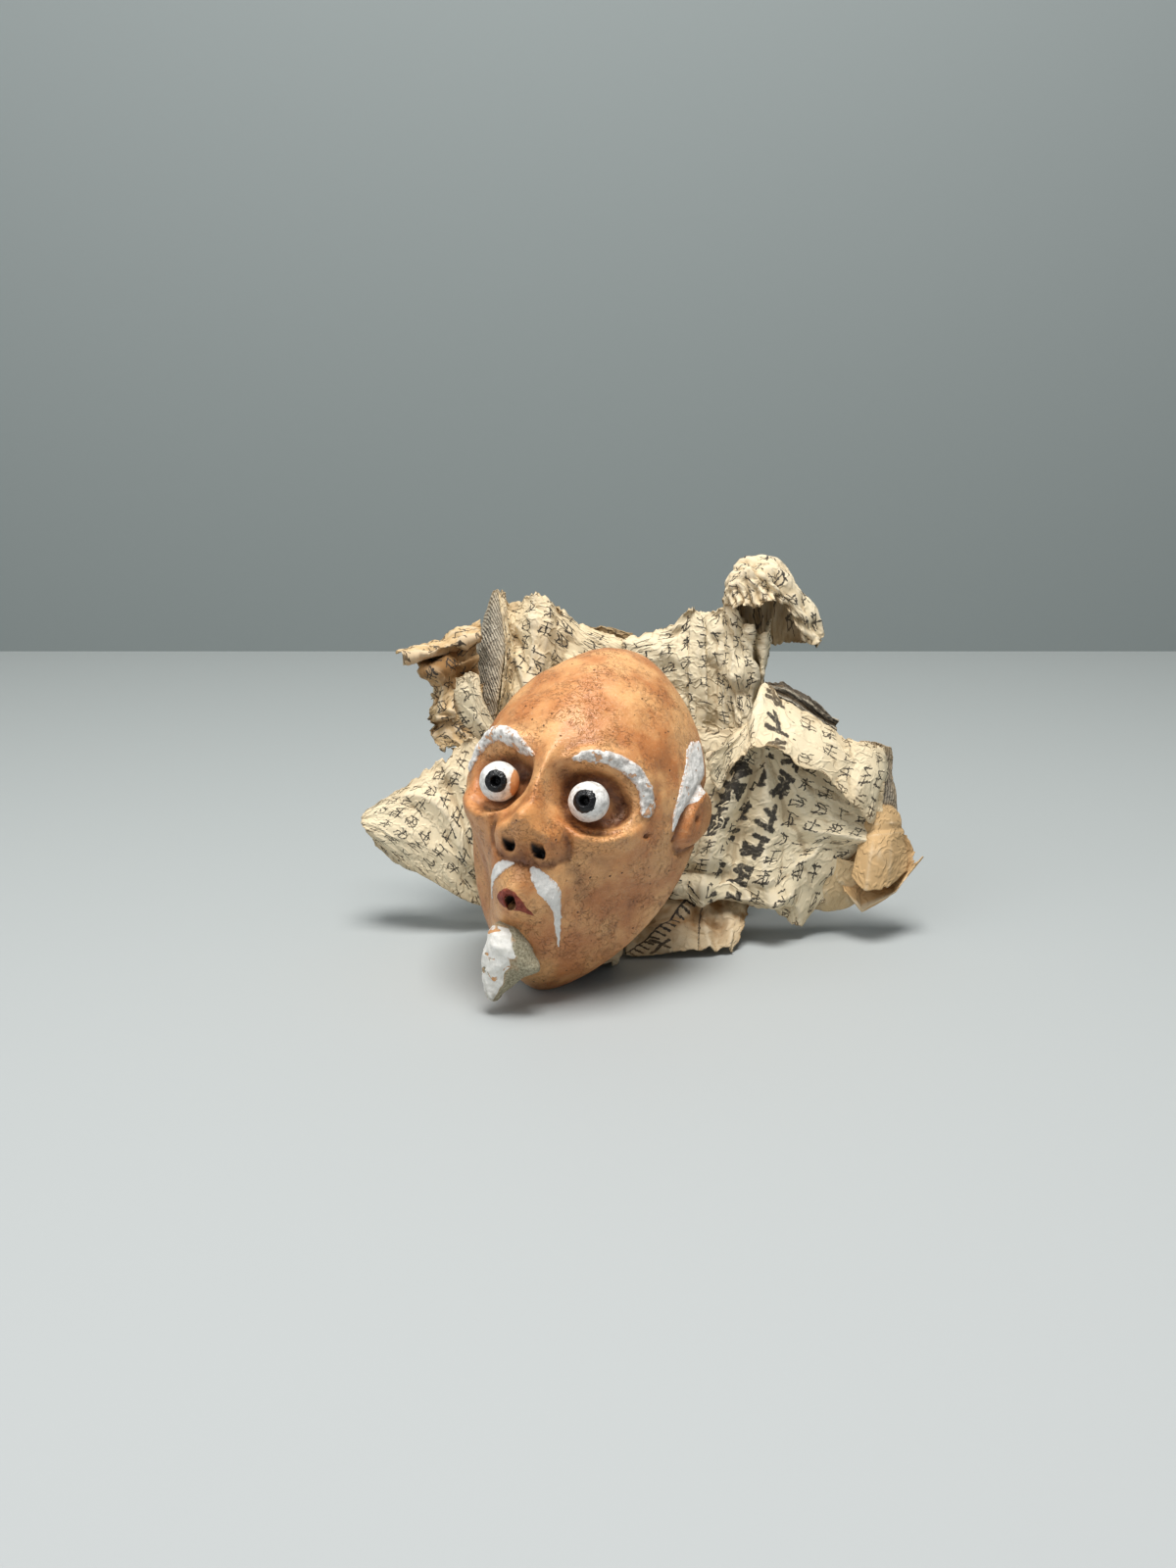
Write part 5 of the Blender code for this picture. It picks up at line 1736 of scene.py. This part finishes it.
@dataclass
class Glove:
    """Everything of paper: the sheets that are fixed to the wad, and the two sleeves with the pieces laid on
    them.

    A net's rows run from the top down and its columns from left to right.
    """

    upper: tuple[PaperSheet, ...] = (  # they stand up behind the head
        PaperSheet(
            "upper_left_sheet",
            (((-24.3, 7, 59.5), (-23.4, 6.4, 59), (-22, 8.5, 57), (-18.5, 6, 59.5), (-15, 7.8, 57.5),
              (-9, 8.5, 53), (-2.5, 9, 50.5)),
             ((-23.6, 5.2, 51), (-22.8, 5.4, 51), (-21.6, 7, 51), (-18.5, 4, 52), (-15, 6.4, 51),
              (-9, 6.6, 48), (-2, 8, 45.5)),
             ((-24.3, 4, 43), (-23.2, 4.6, 43), (-22, 5.8, 42.5), (-19, 2.4, 43), (-14, 5.4, 42.5),
              (-9, 5.6, 40.5), (-2, 7, 38.5)),
             ((-25.6, 3.6, 35), (-24.6, 4, 34.5), (-22.8, 4.5, 34), (-19, 1.6, 34.5), (-14, 4.2, 34),
              (-9, 4.8, 32), (-2, 6, 30))),
            PaperFinish("upper_left_print", turn=14, seed=1.3, staining=0.35, tone=(0.83, 0.70, 0.47)),
            replaces="upper_left_panel", torn=(0.8, 0.2, 0.3, 0.1), browned=(1.2, 0.5, 1, 0.6), seed=2,
            creases=(Crease((0.62, 0.95), (0.50, 0.10), 2.2, 0.8),
                     Crease((0.74, 0.70), (0.60, 0.10), 1.8, -0.8)),
        ),
        PaperSheet(
            "grey_side",
            (((-26, 14, 51), (-27.4, 11, 53), (-27, 9.5, 55), (-25.8, 7.6, 58.8), (-24.2, 6.6, 59.8)),
             ((-26.5, 13.5, 47), (-28.9, 9.5, 48.5), (-28.0, 7.8, 49.5), (-25.9, 6.0, 51), (-23.4, 4.6, 51)),
             ((-26.5, 12.5, 43), (-29.8, 8, 43.5), (-28.6, 6.8, 43), (-26.6, 5.0, 42.8), (-24.1, 3.4, 43)),
             ((-26, 11.5, 37), (-29.8, 6.5, 37.5), (-28.8, 5.6, 37), (-27.4, 4.2, 36), (-25.5, 3.2, 35))),
            # its grey tone is halftone print and partly painted shade of the pleat's inner side, darker
            # towards the bottom
            PaperFinish("grey_side_print", Print.HATCH, turn=4, tone=(0.60, 0.55, 0.44), staining=0.15),
            slot="inked_newsprint", replaces="grey_strip", crumple=((4, 0.3), (1.6, 0.12)), sharp=0.8,
            shade_and_soil=(0.0, 0.1, 0.2, 0.3), torn=(0.6, 0.1, 0.2, 0.3), seed=4,
        ),
        PaperSheet(
            "lining",
            (((-12.8, 10, 52), (-9, 12, 52.3), (-5.5, 12, 52), (-1, 11, 51)),
             ((-11, 9.5, 49.5), (-8, 10.5, 49), (-5, 11, 49), (-1.5, 10.5, 49)),
             ((-11, 10, 42), (-8, 10.5, 41), (-5, 10.5, 41), (-1.5, 10.5, 42))),
            # brown paper whose dark tone and darker lower rows are partly painted shade of the gap under the
            # panels' top edge
            PaperFinish("lining_print", Print.COLUMNS, turn=10, tone=(0.40, 0.29, 0.16), seed=7.7),
            slot="brown_paper", replaces="brown_lining", shade_and_soil=(0.2, 0.7, 0.7), torn=(0.6, 0.1, 0.1, 0.3),
            seed=5,
        ),
        PaperSheet(
            "upper_right_sheet",
            (((-3, 9, 51), (1.5, 8, 52), (5.5, 7.5, 53), (9, 6.5, 56), (11.6, 7, 55), (14.4, 6, 56.3),
              (17, 7.5, 55)),
             ((-3, 7, 44), (1.5, 6, 45), (5.5, 5.5, 46), (8.6, 4, 46.5), (11.6, 5.5, 46), (14.4, 4.4, 46.5),
              (17.5, 6.5, 45)),
             ((-2, 5, 35.5), (2, 4, 36.5), (6.5, 3.5, 37.5), (9.2, 2.5, 38), (12, 3.5, 37.5), (15, 2.8, 37),
              (18.5, 4.5, 36)),
             ((0, 3, 25.5), (4, 2.5, 25.5), (7.4, 2, 26.5), (10.3, 1, 27.5), (12, 1.5, 28.5), (14, 1, 30),
              (17, 2.5, 31))),
            PaperFinish("upper_right_print", turn=-4, seed=4.1, staining=0.2),
            replaces="upper_right_panel", torn=(0.8, 0.2, 0.3, 0.2), browned=(0.8, 0.4, 1, 0.5), seed=3,
            creases=(Crease((0.30, 0.95), (0.20, 0.30), 2.2, 0.8),
                     Crease((0.50, 0.95), (0.44, 0.15), 1.9, -0.9),
                     Crease((0.60, 0.95), (0.66, 0.35), 1.7, 0.9),
                     Crease((0.80, 0.80), (0.70, 0.05), 1.8, -0.8)),
        ),
        PaperSheet(
            "tuft_column",
            (((19, 9.5, 54), (14.6, 8, 54.5), (14.8, 4.8, 57.5), (16.4, 2.6, 57), (17.8, 5.0, 53.6),
              (19, 1.6, 54.2), (20.3, 5.0, 52.6), (21.8, 2.0, 53), (23.4, 4.2, 54.6), (22.5, 8.5, 54)),
             ((19, 8.5, 46.5), (14.6, 7, 46.5), (14.8, 4.2, 46.8), (16.2, 1.8, 47), (18.0, 1.6, 46.5),
              (19.8, 2.0, 46.5), (20.7, 6.0, 46), (21.4, 2.4, 46.5), (22.7, 4.0, 47), (21.8, 7.5, 46.5)),
             ((19, 7, 35), (15.6, 5.5, 35), (15.6, 2.6, 35.5), (16.8, 0.8, 35.5), (18.2, 0.2, 35.5),
              (19.5, 0.6, 35.5), (20.4, 4.0, 36), (21.0, 1.4, 37), (22, 3.2, 37), (21.5, 6, 36))),
            PaperFinish("tuft_column_print", turn=-6, seed=6.2, staining=0.25),
            sharp=0.7, crumple=((4.2, 0.9), (2.0, 0.40), (1.0, 0.12)), torn=(0.5, 0.1, 0.3, 0.1), seed=6,
        ),
        PaperSheet(
            "tuft_hood",
            (((16, 10, 50), (17.5, 10.5, 48), (20, 11, 46.5), (22.5, 11, 47.5), (25, 10.5, 48.6),
              (27.5, 9.6, 49.2), (29.3, 7.4, 49.8)),
             ((15.5, 8, 57), (16, 8.5, 61), (18, 9, 63.4), (21.5, 9, 64), (25, 9, 61.5), (28, 8.5, 57.3),
              (30.2, 6.5, 52)),
             ((15.1, 5.4, 56.5), (15.9, 5, 61.5), (18.6, 4.4, 64.6), (22.6, 4.4, 64.2), (26.2, 4.6, 61),
              (29.2, 4.8, 57), (30.9, 5, 52)),
             ((15.5, 2.8, 57), (15.9, 2.0, 60.6), (18.2, 1.0, 62.4), (21.6, 0.4, 62.2), (25.4, 0.8, 59.2),
              (28.4, 1.8, 55), (30.2, 3.0, 51)),
             ((16.3, 2.8, 57.2), (17.8, 1.2, 57.8), (19.7, 0.6, 56.6), (21.8, 0.0, 58.4), (23.9, 0.6, 57.8),
              (26.3, 1.6, 55), (28.5, 3.2, 50.4))),
            # its two top rows, the hood's inner wall, are painted dark as shade
            PaperFinish("tuft_hood_print", turn=24, seed=2.9, staining=0.35, tone=(0.81, 0.70, 0.49)),
            replaces="top_right_tuft", sharp=0.3, crumple=((3.8, 1.2), (1.9, 0.85), (0.95, 0.3)),
            frill=(2.4, 1.1), shade_and_soil=(0.75, 0.55, 0.0, 0.0, 0.0), torn=(0.3, 0.4, 0.3, 0.4), seed=7,
        ),
        PaperSheet(
            "dark_inked_fold",
            (((21.6, 1, 44), (25, 2, 44), (29.5, 3, 41.5), (34, 4, 37)),
             ((21.9, 0, 41.5), (26, 0.5, 40), (30, 1.5, 37.7), (34.4, 3, 35.3)),
             ((23, 2, 34), (26.5, 3, 33), (30.5, 4, 31.5), (34, 5, 30))),
            PaperFinish("dark_fold_print", Print.HATCH, turn=-35, tone=(0.10, 0.085, 0.07), edge_brown=0.1,
                        staining=0.1),
            slot="inked_newsprint", replaces="dark_fold", crumple=((3.0, 0.5), (1.2, 0.2)),
            torn=(0.5, 0.3, 0.1, 0.1), browned=(0.4, 0.4, 0.4, 0.4), seed=8,
            creases=(Crease((0.0, 0.80), (1.0, 0.72), 0.9, 0.9), Crease((0.0, 0.60), (1.0, 0.50), 0.8, 0.8),
                     Crease((0.1, 0.40), (1.0, 0.28), 0.8, 0.8)),
        ),
    )
    left: tuple[PaperSheet, ...] = (  # torn wad, scraps and the left sleeve
        PaperSheet(
            "brown_torn_wad",
            (((-42.6, 3.5, 49), (-38, 4, 50.6), (-33, 4.5, 52.5), (-27.8, 5.5, 54.5)),
             ((-41.5, 1.5, 48), (-37, 1.5, 49), (-32.2, 2, 50.4), (-27.6, 3.5, 52)),
             ((-39, 5.5, 47.7), (-35.6, 6, 48), (-31.6, 6, 49), (-27.9, 6, 50.6)),
             ((-38.5, 3, 45.6), (-35.5, 1.5, 46), (-32, 1.8, 46.8), (-28, 3.5, 48)),
             ((-36.4, 5, 42.0), (-34, 3, 42), (-32, 3.5, 42), (-28, 5, 42)),
             ((-35.4, 6, 39.0), (-33.5, 5, 38.5), (-31, 5, 38), (-27.5, 6, 38))),
            # its lower rows, the underside, are painted dark brown: brown paper and painted shade
            PaperFinish("torn_wad_print", turn=30, seed=8.8, tone=(0.70, 0.50, 0.27), staining=0.7),
            slot="brown_paper", replaces="torn_wad", shade_and_soil=(0.0, 0.15, 1.3, 1.0, 1.1, 1.1),
            crumple=((3.2, 1.0), (1.6, 0.60), (0.8, 0.20)), sharp=0.8, torn=(0.6, 0.3, 1.2, 1.2), seed=9,
        ),
        PaperSheet(
            "left_scrap_sheet",
            (((-36.5, 4.5, 42), (-34.3, 3.5, 43.5), (-32, 3, 44.8), (-30.9, 3.5, 43), (-27, 5, 43)),
             ((-37.4, 4, 38.5), (-35, 2.5, 39.3), (-32.6, 2, 39.4), (-31.7, 3, 37.8), (-27.5, 4, 38.5)),
             ((-37, 4, 35), (-34.7, 2.5, 36.5), (-32, 2, 37), (-30.3, 3, 36), (-26, 4, 36)),
             ((-34.6, 3, 31), (-32, 2, 32), (-29.6, 1.5, 32), (-26.2, 2, 31), (-23, 3, 31))),
            PaperFinish("left_scrap_print", turn=-20, seed=3.7, staining=0.7, tone=(0.74, 0.54, 0.30)),
            replaces="left_scraps", crumple=((3.6, 1.0), (1.8, 0.50), (0.8, 0.16)), sharp=0.8,
            torn=(0.8, 0.2, 0.6, 1.0), shade_and_soil=(0.35, 0.0, 0.45, 0.0), seed=10,
            creases=(Crease((0.70, 1.0), (0.62, 0.30), 1.4, -1.6),
                     Crease((0.0, 0.36), (0.55, 0.30), 1.4, -1.5),
                     Crease((0.30, 0.95), (0.25, 0.45), 1.4, 1.0)),
        ),
        PaperSheet(
            "left_curved_strip",
            (((-36.5, 6.5, 44), (-32, 3.2, 45), (-29.7, 1.5, 46), (-28, 2, 45)),
             ((-36.5, 6.5, 40), (-31.5, 2.5, 41), (-29, 0.5, 41.8), (-27.3, 1, 41.3)),
             ((-36, 6.5, 35), (-30, 2, 36), (-27.4, 0.5, 36.5), (-25, 1, 36)),
             ((-34, 6.5, 31), (-29, 3, 32), (-26, 1.5, 32), (-23.5, 1.5, 32))),
            PaperFinish("left_strip_print", turn=-12, seed=5.2, staining=0.2),
            crumple=((4, 0.4), (1.8, 0.2)), torn=(0.5, 0.2, 0.3, 0.2), seed=11,
        ),
        PaperSheet(
            "left_sleeve_sheet",
            (((-48.2, -1.5, 22), (-41.5, -1.5, 26), (-35.5, -0.5, 30.5), (-29.5, 0, 34.5), (-22.7, 1, 36.5)),
             ((-49, -2.5, 20.5), (-41.3, -4, 23), (-34.8, -3.5, 24.5), (-28.6, -2.5, 26), (-22.7, -1, 26.5)),
             ((-48.2, -3.6, 19.0), (-41.2, -6, 17.6), (-34.8, -5.6, 15.5), (-28.7, -4.6, 13),
              (-22.8, -3, 11)),
             ((-47.4, -3.0, 17.6), (-40.5, -5.2, 12.6), (-34.8, -5, 9), (-29.4, -4, 5.5), (-22.9, -3, 2.8))),
            PaperFinish("left_sleeve_print", turn=38, seed=9.4, staining=0.2),
            body="left_arm", joined_to="paper_body", blend_x=(-24.0, -31.0), replaces="left_sleeve",
            crumple=((7.5, 0.5), (3.2, 0.30), (1.5, 0.12)), torn=(0.7, 0.1, 0.1, 0.3), sharp=0.85, seed=12,
            creases=(Crease((0.30, 0.80), (0.66, 0.45), 2.0, 0.9),
                     Crease((0.55, 0.75), (0.80, 0.20), 1.8, -1.1)),
        ),
        PaperSheet(
            "left_turned_fold",
            (((-44, 4, 23), (-41, 3, 20), (-37.5, 2, 17), (-33.5, 2, 14)),
             ((-48, -1, 18.6), (-44.4, -1.5, 15), (-40, -1.5, 11.5), (-35.4, -1, 8.6)),
             ((-46.8, 3, 14.4), (-44.2, 3.5, 11.4), (-41.2, 4, 9.4), (-37, 4.5, 8.2))),
            # its darker tone is painted shade on the folded-under side, with some staining
            PaperFinish("left_fold_print", turn=50, seed=1.9, tone=(0.50, 0.39, 0.24), staining=0.4),
            body="left_arm", rests_on="left_sleeve_sheet", replaces="left_under_fold", seed=13,
        ),
    )
    right: tuple[PaperSheet, ...] = (  # the right sleeve with its flap and cuff, and the piece under it
        PaperSheet(
            "right_sleeve_sheet",
            (((4, 1, 37), (9, -2, 37), (18, -4, 36.7), (24.6, -4, 37.5), (33.2, -3, 34.7), (41.7, -3, 33)),
             ((4.5, -1, 28), (8.7, -5, 27.4), (17, -7, 29.6), (24.5, -7, 28.7), (33, -6, 26.8),
              (42.3, -4, 27)),
             ((3, -4, 18), (6.5, -8, 16), (14.5, -9, 19.7), (23.7, -9, 19.7), (33, -7.5, 20.2),
              (42, -4.5, 19.4)),
             ((3, -5, 11), (6.2, -9, 10), (13.7, -10.5, 10.6), (22, -10.5, 11.8), (29.7, -9, 15.4),
              (38.2, -6, 15.7)),
             ((4, -3, 7.5), (8, -6, 7.4), (15.7, -7.5, 6.6), (23.3, -8, 5.3), (27.2, -7.5, 2.3),
              (31.7, -6, 5.6))),
            PaperFinish("right_sleeve_print", Print.HEADING, turn=17, heading=(10.8, 16.2),
                        block=(4.8, 19.5, 9.3, 29.5), seed=2.2, staining=0.2),
            body="right_arm", joined_to="paper_body", blend_x=(8.0, 15.0), replaces="right_sleeve",
            crumple=((7.0, 1.1), (3.0, 0.46), (1.3, 0.16)), torn=(0.3, 0.3, 0.4, 0.2), sharp=0.75, seed=14,
            creases=(Crease((0.42, 0.86), (0.30, 0.12), 2.6, 1.6),
                     Crease((0.46, 0.86), (0.44, 0.20), 2.2, -1.5),
                     Crease((0.50, 0.86), (0.60, 0.10), 2.8, 1.5),
                     Crease((0.52, 0.84), (0.76, 0.30), 2.0, -1.3),
                     Crease((0.70, 0.50), (1.0, 0.36), 2.4, 1.4),
                     Crease((0.15, 0.20), (0.70, 0.14), 2.4, 1.6),
                     Crease((0.12, 0.40), (0.40, 0.30), 1.8, -1.2)),
        ),
        PaperSheet(
            "right_flap_sheet",
            (((11, -9, 33), (15, -8, 36.5), (19, -5, 39), (21.3, -2, 44.3), (24.6, -3, 42), (30.5, -4, 38.4),
              (35, -4, 35.6), (39, -4, 34.6), (41.0, -4, 33.7), (42.0, -1.2, 33)),
             ((11.3, -9.5, 30), (14, -8, 33), (18, -7.5, 36.5), (20, -6, 40.5), (24.3, -7, 38.2),
              (29.3, -7.5, 35), (34.4, -7, 32.2), (38.8, -6, 31), (41.5, -5, 29), (42.6, -1.8, 28)),
             ((12.9, -9, 27), (14.5, -8, 29), (17, -10, 33), (18.5, -11, 35), (22.3, -11.8, 35),
              (26.5, -11.4, 31.8), (31.6, -10.4, 29.7), (35.8, -9.4, 24.8), (38.9, -7.6, 20.6),
              (41.2, -3.4, 21.2))),
            PaperFinish("right_flap_print", Print.HEADING, turn=-12, heading=(15.3, 20.9), seed=5.6,
                        staining=0.2),
            body="right_arm", rests_on="right_sleeve_sheet", replaces="right_flap",
            crumple=((6.0, 0.75), (2.6, 0.30), (1.2, 0.09)), torn=(0.5, 0.3, 0.4, 0.3), seed=15,
        ),
        PaperSheet(
            "flap_backing",
            (((33, -1.0, 35), (37, -2.4, 34.6), (40.8, -2.6, 34.2), (43.6, -1.6, 33)),
             ((33, -2.0, 29), (37, -3.4, 29), (41.2, -3.6, 28.4), (44.4, -2.4, 27.4)),
             ((33.4, -2.6, 22.6), (37.4, -4.2, 23), (41.6, -4.4, 22.6), (44.8, -2.8, 21.8))),
            PaperFinish("flap_backing_print", Print.HATCH, turn=60, seed=4.6, tone=(0.34, 0.30, 0.24),
                        staining=0.3),
            body="right_arm", slot="inked_newsprint", rests_on="right_flap_sheet",
            crumple=((4.0, 0.5), (1.8, 0.3)), torn=(0.3, 0.3, 0.6, 0.1), seed=21,
        ),
        PaperSheet(
            "cuff_back",
            (((35.5, -5, 16.5), (38, -4.5, 17), (43, -3.5, 17), (47, -2, 18)),
             ((35.3, -5.5, 12), (38, -5, 12.5), (44, -4, 12), (48.4, -2.5, 14.6)),
             ((35.2, -6, 9.6), (38.4, -5.5, 8.5), (44, -5, 9), (48.9, -3.6, 14.2)),
             ((35.5, -8, 8.9), (38.3, -8.5, 6.0), (44.2, -8, 8.8), (49.2, -5, 14.4)),
             ((36.2, -6, 8.0), (38.8, -6.5, 4.6), (44.6, -6, 8.2), (49.6, -4, 14))),
            # its top rows, inside the pocket, are painted dark as shade
            PaperFinish("cuff_back_tan", Print.NONE, tone=(0.66, 0.43, 0.21), staining=0.5, edge_brown=0.2),
            body="right_arm", slot="tan_paper", rests_on="right_sleeve_sheet",
            crumple=((4, 0.25), (1.8, 0.08)), torn=(0.2, 0.9, 0.2, 0.1), browned=(0.5, 0.5, 0.5, 0.5),
            shade_and_soil=(0.6, 0.6, 0.5, 0.0, 0.0), sharp=0.9, seed=17,
        ),
        PaperSheet(
            "cuff_front",
            (((38.6, -3.6, 23.6), (41, -4.2, 23.8), (43, -4, 23.4), (44.8, -2.4, 22.4)),
             ((38.0, -6, 19.4), (40.6, -6.5, 20), (43.4, -6, 20), (46.0, -3.4, 19.2)),
             ((37.2, -7.6, 15.6), (39.6, -9.4, 16.2), (43, -8.4, 16.2), (46.6, -4, 15.7)),
             ((36.4, -8.4, 11.8), (38.6, -11, 10), (42.5, -10, 10.3), (46.9, -5.4, 12.2))),
            PaperFinish("cuff_front_tan", Print.NONE, tone=(0.58, 0.375, 0.18), staining=0.35,
                        edge_brown=0.2),
            body="right_arm", slot="tan_paper", rests_on="right_sleeve_sheet", replaces="right_cuff",
            crumple=((5, 0.25), (2.4, 0.05)), torn=(0.2, 0.3, 0.3, 0.1), browned=(0.5, 0.5, 0.5, 0.5),
            sharp=0.2, seed=18,
            creases=(Crease((0.0, 0.62), (1.0, 0.66), 1.0, -0.3),),
        ),
        PaperSheet(
            "cuff_inner_fold",
            (((27, -5, 16), (32, -6, 15.5), (35.5, -6.5, 14.5), (39, -6.5, 13.5)),
             ((27, -4, 9.5), (31.8, -6, 8.8), (35.2, -6.5, 8.8), (38.6, -5.5, 8.5)),
             ((27.5, -2, 5.5), (31.8, -4.5, 4.4), (34.6, -5, 4.2), (38, -4, 5.6))),
            PaperFinish("cuff_fold_tan", Print.NONE, tone=(0.70, 0.53, 0.31), staining=0.35, edge_brown=0.2),
            cell=0.3, body="right_arm", slot="tan_paper", rests_on="right_sleeve_sheet",
            crumple=((4, 0.5), (1.8, 0.12)), torn=(0.2, 0.2, 0.2, 0.1), sharp=0.4, seed=16,
        ),
        PaperSheet(
            "bottom_sheet",
            (((-2.5, -4, 6), (6.5, -4, 10.5), (13.9, -4, 9), (19.7, -4, 7.4)),
             ((-2.6, -11, 3.0), (6, -10.5, 5.4), (13.8, -10, 4.6), (18.9, -9.5, 4.2)),
             ((-2.7, -18, 0.9), (5.9, -17.5, 0.9), (12.3, -16.5, 0.9), (15.7, -15.5, 0.9))),
            # its upper rows are painted dark as the shadow under the right sleeve
            PaperFinish("bottom_print", Print.TICKS, turn=-48, seed=1.1, staining=0.3,
                        tone=(0.78, 0.66, 0.46)),
            replaces="bottom_piece", crumple=((4.5, 0.9), (2.2, 0.4), (1.1, 0.1)),
            torn=(0.2, 0.9, 0.3, 0.2), shade_and_soil=(1.4, 0.9, 0.0), seed=19,
            creases=(Crease((0.05, 0.55), (0.70, 0.40), 1.6, -1.2),
                     Crease((0.45, 1.0), (0.62, 0.0), 1.6, 1.2)),
        ),
    )
    wraps: tuple[PaperSheet, ...] = (  # wrapped round the wad at the back
        PaperSheet(
            "back_wrap",
            (((-27, 9, 50), (-14, 12, 47), (0, 12, 46), (12, 12, 46), (22, 9, 44)),
             ((-28, 13, 38), (-14, 17, 36), (0, 18, 35), (12, 17, 35), (23, 13, 34)),
             ((-28, 14, 20), (-14, 18.5, 18), (0, 18.5, 19), (12, 18.5, 17), (24, 14, 19)),
             ((-25, 12, 1.5), (-14, 16, 1.2), (0, 17, 1.2), (12, 16, 1.2), (21, 12, 1.5))),
            PaperFinish("back_wrap_print", turn=8, seed=3.3, staining=0.35),
            cell=0.36, crumple=((9.0, 1.6), (4.0, 0.6), (1.8, 0.15)), torn=(0.8, 0.5, 0.3, 0.5), seed=20,
        ),
    )

    def build(self) -> None:
        """Makes every sheet."""
        PaperWad("paper_wad", "paper_core", "paper_body", tuck=0.5).build()
        PaperWad("stuffing_wad", "head_stuffing", "head", coarse=0.9, seed=8).build()
        for sheet in (*self.upper, *self.left, *self.right, *self.wraps):
            sheet.build()


# ---- Studio ----


@dataclass
class Studio:
    """Floor, backdrop, lamps and camera."""

    aim: tuple[float, float, float] = (-0.0090, 0.0087, 0.0277)
    distance: float = 0.3024
    elevation: float = math.radians(14.0)
    lens: float = 54.0
    wall_y: float = 0.305
    reach: float = 1.6  # half the table's width
    wall_rise: float = 1.2
    # the near and far table colours and the low and high wall colours paint falloff of light
    table: tuple[Colour, Colour] = ((0.42, 0.44, 0.445), (0.40, 0.43, 0.425))  # near and far
    wall: tuple[Colour, Colour] = ((0.232, 0.262, 0.26), (0.275, 0.308, 0.308))  # low and high
    sky: tuple[float, float, float, float] = (0.93, 0.96, 1.0, 1.0)
    sky_strength: float = 0.24

    def floor(self) -> None:
        """A pale table and a grey wall behind it, with painted falloff of light: the table darker far off,
        the wall darker low down.
        """
        shape = bmesh.new()
        bmesh.ops.create_grid(shape, x_segments=1, y_segments=1, size=self.reach)
        bmesh.ops.translate(shape, verts=shape.verts, vec=(0, self.wall_y - self.reach, 0))
        back = [e for e in shape.edges if min(v.co.y for v in e.verts) > self.wall_y - 0.01]
        raised = bmesh.ops.extrude_edge_only(shape, edges=back)["geom"]
        corners = [v for v in raised if isinstance(v, bmesh.types.BMVert)]
        bmesh.ops.translate(shape, verts=corners, vec=(0, 0, self.wall_rise))
        made = new_object("studio_floor", into_mesh(shape, "studio_floor"))
        n = Nodes("studio_grey")
        _, y, z = n.split(n.here())
        # painted falloff of light across the table and up the wall
        table = n.mix(n.ramp(y, -250, 300), *self.table)
        wall = n.mix(n.ramp(z, 0, 260), *self.wall)
        n.colour = n.mix(n.above(z, 0.05), table, wall)
        dress(made, n.finish(0.6, 0.25))

    def lamp(self, name: str, spot: tuple, size: float, power: float, colour: Colour) -> None:
        """A square soft lamp that looks at the puppet.

        Args:
            name: The lamp's name.
            spot: Where it hangs, in metres.
            size: Its edge in metres.
            power: Its strength in watts.
            colour: Its light.
        """
        light = bpy.data.lights.new(name, "AREA")
        light.shape = "SQUARE"
        light.size = size
        light.energy = power
        light.color = colour
        made = new_object(name, light)
        made.location = spot
        made.rotation_euler = (Vector(self.aim) - Vector(spot)).to_track_quat("-Z", "Y").to_euler()

    def build(self) -> None:
        """Sets up everything around the puppet."""
        self.floor()
        self.lamp("key_lamp", (0.0, -0.13, 0.60), size=0.26, power=4.6, colour=(1.0, 0.985, 0.96))
        self.lamp("side_lamp", (-0.42, -0.38, 0.46), size=0.5, power=1.5, colour=(0.97, 0.99, 1.0))
        world = bpy.data.worlds.new("studio_world")
        bpy.context.scene.world = world
        world.use_nodes = True
        background = world.node_tree.nodes["Background"]
        background.inputs["Color"].default_value = self.sky
        background.inputs["Strength"].default_value = self.sky_strength
        camera = new_object("camera", bpy.data.cameras.new("camera"))
        camera.data.sensor_fit = "HORIZONTAL"
        camera.data.sensor_width = 36.0
        camera.data.lens = self.lens
        back = Vector((0, -math.cos(self.elevation), math.sin(self.elevation)))
        camera.location = Vector(self.aim) + back * self.distance
        camera.rotation_euler = (math.pi / 2 - self.elevation, 0, 0)
        camera.data.clip_start = 0.01
        bpy.context.scene.camera = camera
        bpy.context.scene.view_settings.view_transform = "Standard"


def main() -> None:
    """Builds the puppet and its studio."""
    logging.basicConfig(level=logging.INFO, format="%(name)s: %(message)s")
    Studio().build()
    dress(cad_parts["finger_tube"], CardFinish().build())
    LOG.info("finger_tube on neck")
    Head().build()
    Glove().build()


if __name__ == "__main__":
    main()
